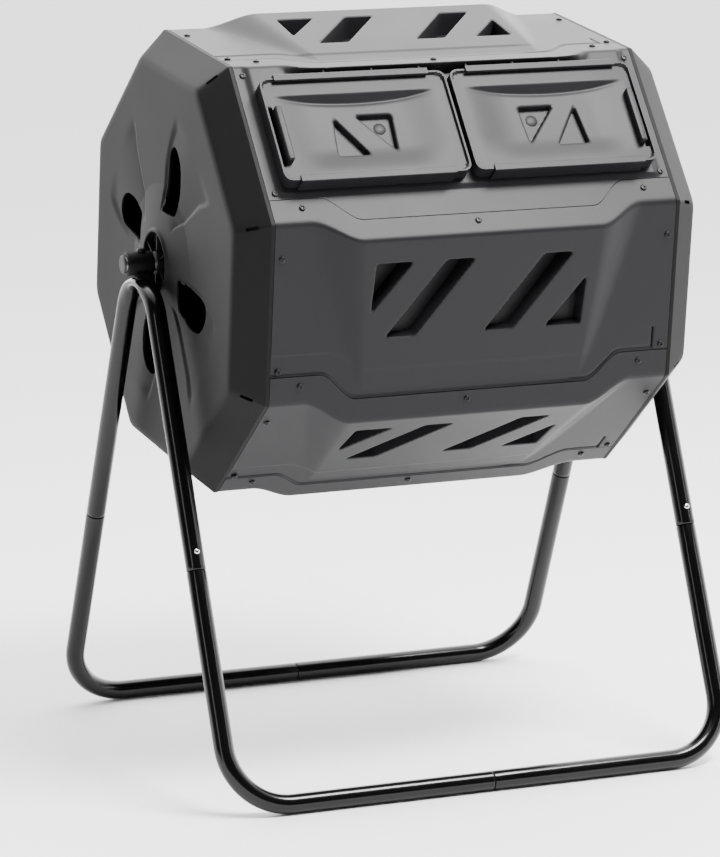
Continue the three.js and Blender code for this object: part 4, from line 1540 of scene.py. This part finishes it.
@dataclass
class Stand:
    """Two A-frames and their four L-shaped lower tubes, with snap buttons."""

    shop: Workshop
    plane: float = 339.0
    tube: float = 12.5
    depth: float = 640.0
    apex: float = 711.0
    crown_bend: float = 60.0
    crown_squash: float = 0.6
    corner_bend: float = 78.0
    joint: float = 288.0
    base_joint: float = 8.0
    spigot: float = 58.0
    spigot_radius: float = 10.5
    button_rise: float = 22.0
    gap: float = 0.3

    SIDES = (("left", -1), ("right", 1))
    ENDS = (("front", -1), ("rear", 1))

    @property
    def foot(self) -> float:
        """Y of a base rail's centre."""
        return self.depth / 2 - self.tube

    @property
    def slope(self) -> float:
        """Angle of a leg from upright."""
        return math.atan(self.foot / (self.apex - self.tube))

    @property
    def crown_centre(self) -> float:
        """Height of the crown bend's centre."""
        return self.apex - self.crown_bend / math.sin(self.slope)

    def leg_point(self, side: int, end: int, z: float) -> Array:
        """Centre of a leg at a height."""
        return np.array([side * self.plane, end * (self.apex - z) * math.tan(self.slope), z])

    def down(self, end: int) -> Array:
        """Unit vector down a leg."""
        return np.array([0.0, end * math.sin(self.slope), -math.cos(self.slope)])

    def out(self, end: int) -> Array:
        """Unit vector square out of a leg, away from the barrel."""
        return np.array([0.0, end * math.cos(self.slope), math.sin(self.slope)])

    def end_rounding(self, lengths: Array, total: float) -> Array:
        """Outer radius of a tube whose two cut ends are eased by half a millimetre."""
        nearest = np.minimum(lengths, total - lengths)
        return self.tube - 0.5 * (1.0 - smoothstep(nearest, 0.0, 0.9))

    def crown(self, patch: Patch, side: int) -> Patch:
        """Presses the crown flat where the saddle sits, and spreads it a little sideways.

        Args:
            patch: The straight-walled tube.
            side: -1 for the left frame, +1 for the right one.

        Returns:
            The tube with radii about the bend's centre drawn in towards the bend.
        """
        x, y, z = patch.points.T
        z = z - self.crown_centre
        radius = np.hypot(y, z)
        share = 1.0 - smoothstep(np.abs(np.arctan2(y, z)), 0.35, 0.9)
        pressed = 1.0 - share * (1.0 - self.crown_squash)
        flat = self.crown_bend + (radius - self.crown_bend) * pressed
        scale = np.where(z > 0.0, flat / radius, 1.0)
        wide = (x - side * self.plane) * (1.0 + 0.08 * share)
        x, y, z = side * self.plane + wide, y * scale, self.crown_centre + z * scale
        return Patch(np.column_stack([x, y, z]), patch.quads, patch.tris)

    def frame_top(self, side: int) -> Patch:
        """The upper A-frame tube, from one joint over the crown to the other.

        Args:
            side: -1 for the left frame, +1 for the right one.

        Returns:
            The closed tube, with a button's hole near each end.
        """
        start, stop = self.leg_point(side, -1, self.joint), self.leg_point(side, 1, self.joint)
        apex = np.array([side * self.plane, 0.0, self.apex])
        path = BentPath(start, apex, stop, self.crown_bend)
        *_, arc_start, total = path.parts()
        rise = self.button_rise
        ends = [0.0, 0.45, 0.9, rise - 8, rise + 8, arc_start - 20]
        half = spans([*ends, total / 2], [1.0, 1.0, 6.0, 1.3, 40.0, 3.0])
        lengths = np.concatenate([half, total - half[-2::-1]])
        radii = self.end_rounding(lengths, total)
        front = Tube(path, lengths, radii, hole_at=rise, hole_towards=self.out(-1))
        back = Tube(path, lengths, radii, hole_at=total - rise, hole_towards=self.out(1))
        whole = joined_halves(front.surface(), back.surface())
        return self.crown(whole.thickened(front.wall), side)

    def lower_leg(self, side: int, end: int) -> Patch:
        """An L-shaped tube: spigot, lower leg, corner on the floor and half of the base rail.

        Args:
            side: -1 for the left frame, +1 for the right one.
            end: -1 for the front leg, +1 for the rear one.

        Returns:
            The closed tube. Its rail's end is a second spigot where `side` and `end` differ in
            sign, and the plain end that takes one where they agree.
        """
        down = self.down(end)
        male = side * end < 0
        shoulder = self.leg_point(side, end, self.joint) + self.gap * down
        start = shoulder - self.spigot * down
        foot = np.array([side * self.plane, end * self.foot, self.tube])
        stop_x = -end * self.base_joint + (side * self.gap if male else 0.0)
        tail = self.spigot if male else 0.0
        stop = np.array([stop_x - side * tail, foot[1], foot[2]])
        path = BentPath(start, foot, stop, self.corner_bend)
        *_, arc_start, total = path.parts()
        arc_end = arc_start + self.corner_bend * path.parts()[3]
        near_hole, spigot = self.spigot - self.button_rise, self.spigot
        stops = [0.0, near_hole - 8, near_hole + 8, spigot - 0.5, spigot, spigot + 1.6]
        stops += [arc_start, arc_end]
        steps = [20.0, 1.3, 20.0, 1.0, 0.4, 60.0, 3.0]
        if male:
            stops += [total - tail - 1.6, total - tail, total - tail + 0.5, total]
            steps += [60.0, 0.4, 1.0, 20.0]
        else:
            stops += [total - 1.6, total]
            steps += [60.0, 0.4]
        lengths = spans(stops, steps)
        swell = smoothstep(lengths, self.spigot - 0.2, self.spigot + 1.4)
        if male:
            swell = swell * (1.0 - smoothstep(lengths, total - tail - 1.4, total - tail + 0.2))
        radii = self.spigot_radius + (self.tube - self.spigot_radius) * swell
        if not male:
            radii = radii - 0.5 * smoothstep(lengths, total - 0.9, total)
        hole = {"hole_at": near_hole, "hole_towards": self.out(end)}
        return Tube(path, lengths, radii, **hole).patch()

    def snap_button(self, side: int, end: int) -> Patch:
        """A domed pin on a small flange, pointing square out of the leg.

        Args:
            side: -1 for the left frame, +1 for the right one.
            end: -1 for the front leg, +1 for the rear one.

        Returns:
            The closed pin.
        """
        profile = [
            (0.0, 6.4),
            (5.0, 6.4),
            (5.0, 7.6),
            (3.5, 7.6),
            (3.5, 13.4),
            (3.2, 14.2),
            (2.5, 14.7),
            (1.3, 14.95),
            (0.0, 15.0),
        ]
        out, down = self.out(end), self.down(end)
        at = self.leg_point(side, end, self.joint) - self.button_rise * down
        axes = np.column_stack([out, np.cross(down, out), down])
        return moved(lathe(profile, 32), axes, at)

    def build(self) -> None:
        """Builds the stand's tubes and buttons and dresses the springs."""
        for side_name, side in self.SIDES:
            node = f"{side_name}_frame_top"
            made = finished_object(f"{node}_tube", [self.frame_top(side)])
            self.shop.fit(made, "stand", FinishBook.FRAME, Slot.FRAME, [node])
            for end_name, end in self.ENDS:
                name = f"{side_name}_{end_name}"
                made = finished_object(f"{name}_leg_tube", [self.lower_leg(side, end)])
                self.shop.fit(made, "stand", FinishBook.FRAME, Slot.FRAME, [f"{name}_leg"])
                button = f"{name}_snap_button"
                made = finished_object(f"{button}_pin", [self.snap_button(side, end)], merge=True)
                self.shop.fit(made, button, FinishBook.SPRING, Slot.SPRING, [button])
                self.shop.dress_node(f"{name}_snap_spring", FinishBook.SPRING)


@dataclass
class AxleSet:
    """Axle tube, end plugs, saddles and their bolts and nuts."""

    shop: Workshop
    stand: Stand
    height: float = BarrelFrame.axle_height
    radius: float = 10.0
    wall: float = 1.5
    half_length: float = 362.0
    half_width: float = 365.0
    sleeve: float = 15.0
    sleeve_start: float = 325.5
    foot_x: float = 11.5
    foot_y: float = 18.0

    def axle(self) -> Patch:
        """The axle tube, with its cut ends eased.

        Returns:
            The closed tube about the X axis.
        """
        r, e, bore = self.radius, self.half_length, self.radius - self.wall
        profile = [(bore, -e), (r - 0.4, -e), (r, -e + 0.4), (r, e - 0.4), (r - 0.4, e), (bore, e)]
        return lathe([*profile, profile[0]][::-1], 64).reversed_faces()

    def plug(self, side: int) -> Patch:
        """A domed end plug whose disc covers the axle's end.

        Args:
            side: -1 for the left end, +1 for the right one.

        Returns:
            The closed plug about the X axis.
        """
        r, e, w = self.radius, self.half_length, self.half_width
        profile = [(0.0, e - 12), (r - 2.1, e - 12), (r - 2.1, e + 0.3), (r + 1.5, e + 0.3)]
        profile += [(r + 1.5, w - 1.4), (r + 1.1, w - 0.6), (r + 0.2, w - 0.1)]
        profile += [(r - 1.0, w), (0.0, w)]
        return moved(lathe(profile, 64), np.diag([side, side, 1.0]))

    def saddle(self, side: int) -> list[Patch]:
        """A saddle: sleeve round the axle and a rounded foot that follows the crown.

        The foot's section is a superellipse that flares a little towards the crown, and its
        lower face lies on the crown's arc.

        Args:
            side: -1 for the left end, +1 for the right one.

        Returns:
            The closed sleeve and foot.
        """
        r, s, x0, x1 = self.radius + 0.3, self.sleeve, self.sleeve_start, self.half_length - 2.0
        profile = [(r, x0), (s - 1.2, x0), (s - 0.35, x0 + 0.35), (s, x0 + 1.2)]
        profile += [(s, x1 - 1.2), (s - 0.35, x1 - 0.35), (s - 1.2, x1), (r, x1), (r, x0)]
        sleeve = moved(lathe(profile, 72), np.diag([side, side, 1.0]), (0.0, 0.0, self.height))
        angle = np.linspace(0.0, 2.0 * np.pi, 72, endpoint=False)
        share = np.array([0.0, 0.0, 0.04, 0.12, 0.35, 0.6, 0.8, 1.0, 1.0])[:, None]
        scale = np.array([0.0, 0.95, 0.985, 1.0, 0.96, 0.9, 0.86, 0.84, 0.0])[:, None]
        power = 0.3
        x = self.foot_x * scale * np.sign(np.cos(angle)) * np.abs(np.cos(angle)) ** power
        y = self.foot_y * scale * np.sign(np.sin(angle)) * np.abs(np.sin(angle)) ** power
        arc = self.stand.crown_bend + self.stand.tube * self.stand.crown_squash + 0.3
        low = self.stand.crown_centre + np.sqrt(arc**2 - y**2)
        top = self.height - self.radius - 1.0
        z = low + share * (top - low)
        foot = grid_patch(np.stack([side * self.stand.plane + x, y, z], axis=-1), around=True)
        return [sleeve, foot]

    def bolt(self, side: int) -> Patch:
        """The saddle bolt: domed head on the sleeve and a shank down through the crown.

        Args:
            side: -1 for the left end, +1 for the right one.

        Returns:
            The closed bolt.
        """
        seat = self.height + self.sleeve + 0.3
        low = self.stand.crown_centre + self.stand.crown_bend - 16.5
        profile = [(0.0, low), (2.6, low), (3.0, low + 0.5), (3.0, seat), (5.5, seat)]
        profile += [(5.5, seat + 2.2), (4.9, seat + 3.3), (3.4, seat + 3.9), (0.0, seat + 4.0)]
        return moved(lathe(profile, 40), UPRIGHT, (side * self.stand.plane, 0.0, 0.0))

    def nut(self, side: int) -> Patch:
        """The hexagonal nut under the crown, with its bore.

        Args:
            side: -1 for the left end, +1 for the right one.

        Returns:
            The closed nut.
        """
        squashed = self.stand.tube * self.stand.crown_squash
        high = self.stand.crown_centre + self.stand.crown_bend - squashed - 1.2
        low = high - 5.0
        profile = [(3.4, low), (5.5, low), (5.8, high - 4.6), (5.8, high - 0.4), (5.5, high)]
        profile += [(3.4, high), (3.4, low)]
        return moved(lathe(profile, 6), UPRIGHT, (side * self.stand.plane, 0.0, 0.0))

    def build(self) -> None:
        """Builds the axle and the hardware at both ends."""
        lift = (0.0, 0.0, self.height)
        axle = moved(self.axle(), UNTURNED, lift)
        made = finished_object("axle_tube_steel", [axle], merge=True)
        self.shop.fit(made, "stand", FinishBook.ZINC, Slot.ZINC, ["axle_tube"])
        for name, side in self.stand.SIDES:
            plug = moved(self.plug(side), UNTURNED, lift)
            made = finished_object(f"{name}_axle_plug_disc", [plug], merge=True)
            self.shop.fit(made, "stand", FinishBook.PLUG, Slot.PLUG, [f"{name}_axle_plug"])
            made = finished_object(f"{name}_axle_saddle_block", self.saddle(side), merge=True)
            self.shop.fit(made, "stand", FinishBook.SADDLE, Slot.SADDLE, [f"{name}_axle_saddle"])
            made = finished_object(f"{name}_saddle_bolt_steel", [self.bolt(side)], merge=True)
            self.shop.fit(made, "stand", FinishBook.SCREW, Slot.ZINC, [f"{name}_saddle_bolt"])
            made = finished_object(f"{name}_saddle_nut_steel", [self.nut(side)], merge=True)
            self.shop.fit(made, "stand", FinishBook.SCREW, Slot.ZINC, [f"{name}_saddle_nut"])


# ------------------------------------------------------------------ studio


@dataclass
class Studio:
    """Floor, soft lights, world and camera."""

    shop: Workshop
    floor_size: float = 60.0
    lens: float = 181.07
    sensor: float = 36.0
    world_strength: tuple[float, float] = (0.08, 6.5)
    behind: tuple[float, float] = (0.45, 0.89)
    dim_from: tuple[float, float] = (-0.3, 0.75)

    CAMERA_PLACE = (-2.174126, -5.058149, 1.473152)
    CAMERA_RIGHT = (0.92124, -0.38900, -0.00172)
    CAMERA_UP = (0.07542, 0.17427, 0.98180)
    CAMERA_BACK = (-0.38162, -0.90460, 0.18989)
    AIM = (0.0, 0.0, 0.5)

    def floor(self) -> None:
        """A broad pale floor at Z = 0, not part of the object."""
        half = self.floor_size / 2 / MM
        x, y = np.meshgrid([-half, half], [-half, half])
        made = finished_object("studio_floor", [grid_patch(np.stack([x, y, 0.0 * x], axis=-1))])
        self.shop.finishes.dress(made, FinishBook.FLOOR)

    def area_light(
        self,
        name: str,
        place: tuple[float, float, float],
        size: tuple[float, float],
        power: float,
    ) -> None:
        """A rectangular soft light aimed at the barrel.

        Args:
            name: The light's name.
            place: Where it stands, in metres.
            size: Its width and height, in metres.
            power: Its power, in watts.
        """
        data = bpy.data.lights.new(name, "AREA")
        data.shape = "RECTANGLE"
        data.size, data.size_y = size
        data.energy = power
        light = bpy.data.objects.new(name, data)
        light.location = place
        aim = Vector(self.AIM) - Vector(place)
        light.rotation_euler = aim.to_track_quat("-Z", "Y").to_euler()
        bpy.context.scene.collection.objects.link(light)

    def lights(self) -> None:
        """Sets a large soft light overhead, a key light in front and two upright strips.

        The key shines off the door panel, and the strips streak the glossy tubes.
        """
        self.area_light("overhead_softbox", (-0.3, 0.5, 3.4), (4.0, 3.0), 68.0)
        self.area_light("front_key", (0.9, -1.3, 3.3), (1.6, 0.8), 330.0)
        self.area_light("left_strip", (-2.6, -1.6, 1.0), (0.3, 2.2), 14.0)
        self.area_light("right_strip", (2.6, -2.2, 1.0), (0.4, 2.2), 24.0)

    def world(self) -> None:
        """A surround that is pale behind and above the object and dim in front of it."""
        world = bpy.data.worlds.new("studio_world")
        world.use_nodes = True
        world.node_tree.nodes.clear()
        nodes = Nodes(world.node_tree)
        place = nodes.add("ShaderNodeTexCoord")
        axis = nodes.add("ShaderNodeSeparateXYZ", {"Vector": place.outputs["Generated"]})
        shares = [
            nodes.add("ShaderNodeMath", {0: axis.outputs[name], 1: weight}, operation="MULTIPLY")
            for name, weight in zip("XY", self.behind)
        ]
        terms = {index: share.outputs[0] for index, share in enumerate(shares)}
        along = nodes.add("ShaderNodeMath", terms, operation="ADD")
        behind = nodes.add(
            "ShaderNodeMapRange",
            {
                "Value": along.outputs[0],
                "From Min": self.dim_from[0],
                "From Max": self.dim_from[1],
                "To Min": self.world_strength[0],
                "To Max": self.world_strength[1],
            },
            interpolation_type="SMOOTHSTEP",
        )
        background = nodes.add("ShaderNodeBackground", {"Strength": behind.outputs["Result"]})
        background.inputs["Color"].default_value = (1.0, 1.0, 1.0, 1.0)
        nodes.add("ShaderNodeOutputWorld", {"Surface": background.outputs["Background"]})
        bpy.context.scene.world = world

    def camera(self) -> None:
        """The camera: in front of the left end, above the barrel, on a long lens."""
        data = bpy.data.cameras.new("studio_camera")
        data.lens = self.lens
        data.sensor_width = self.sensor
        data.clip_end = 200.0
        camera = bpy.data.objects.new("studio_camera", data)
        axes = Matrix((self.CAMERA_RIGHT, self.CAMERA_UP, self.CAMERA_BACK))
        turn = axes.transposed().to_4x4()
        camera.matrix_world = Matrix.Translation(self.CAMERA_PLACE) @ turn
        bpy.context.scene.collection.objects.link(camera)
        bpy.context.scene.camera = camera

    def build(self) -> None:
        """Sets the studio up."""
        self.floor()
        self.lights()
        self.world()
        self.camera()


def main() -> None:
    """Builds every sub-assembly in order and notes each piece."""
    logging.basicConfig(level=logging.INFO, format="%(message)s")
    shop = Workshop()
    Barrel(shop).build()
    stand = Stand(shop)
    stand.build()
    AxleSet(shop, stand).build()
    Studio(shop).build()


if __name__ == "__main__":
    main()
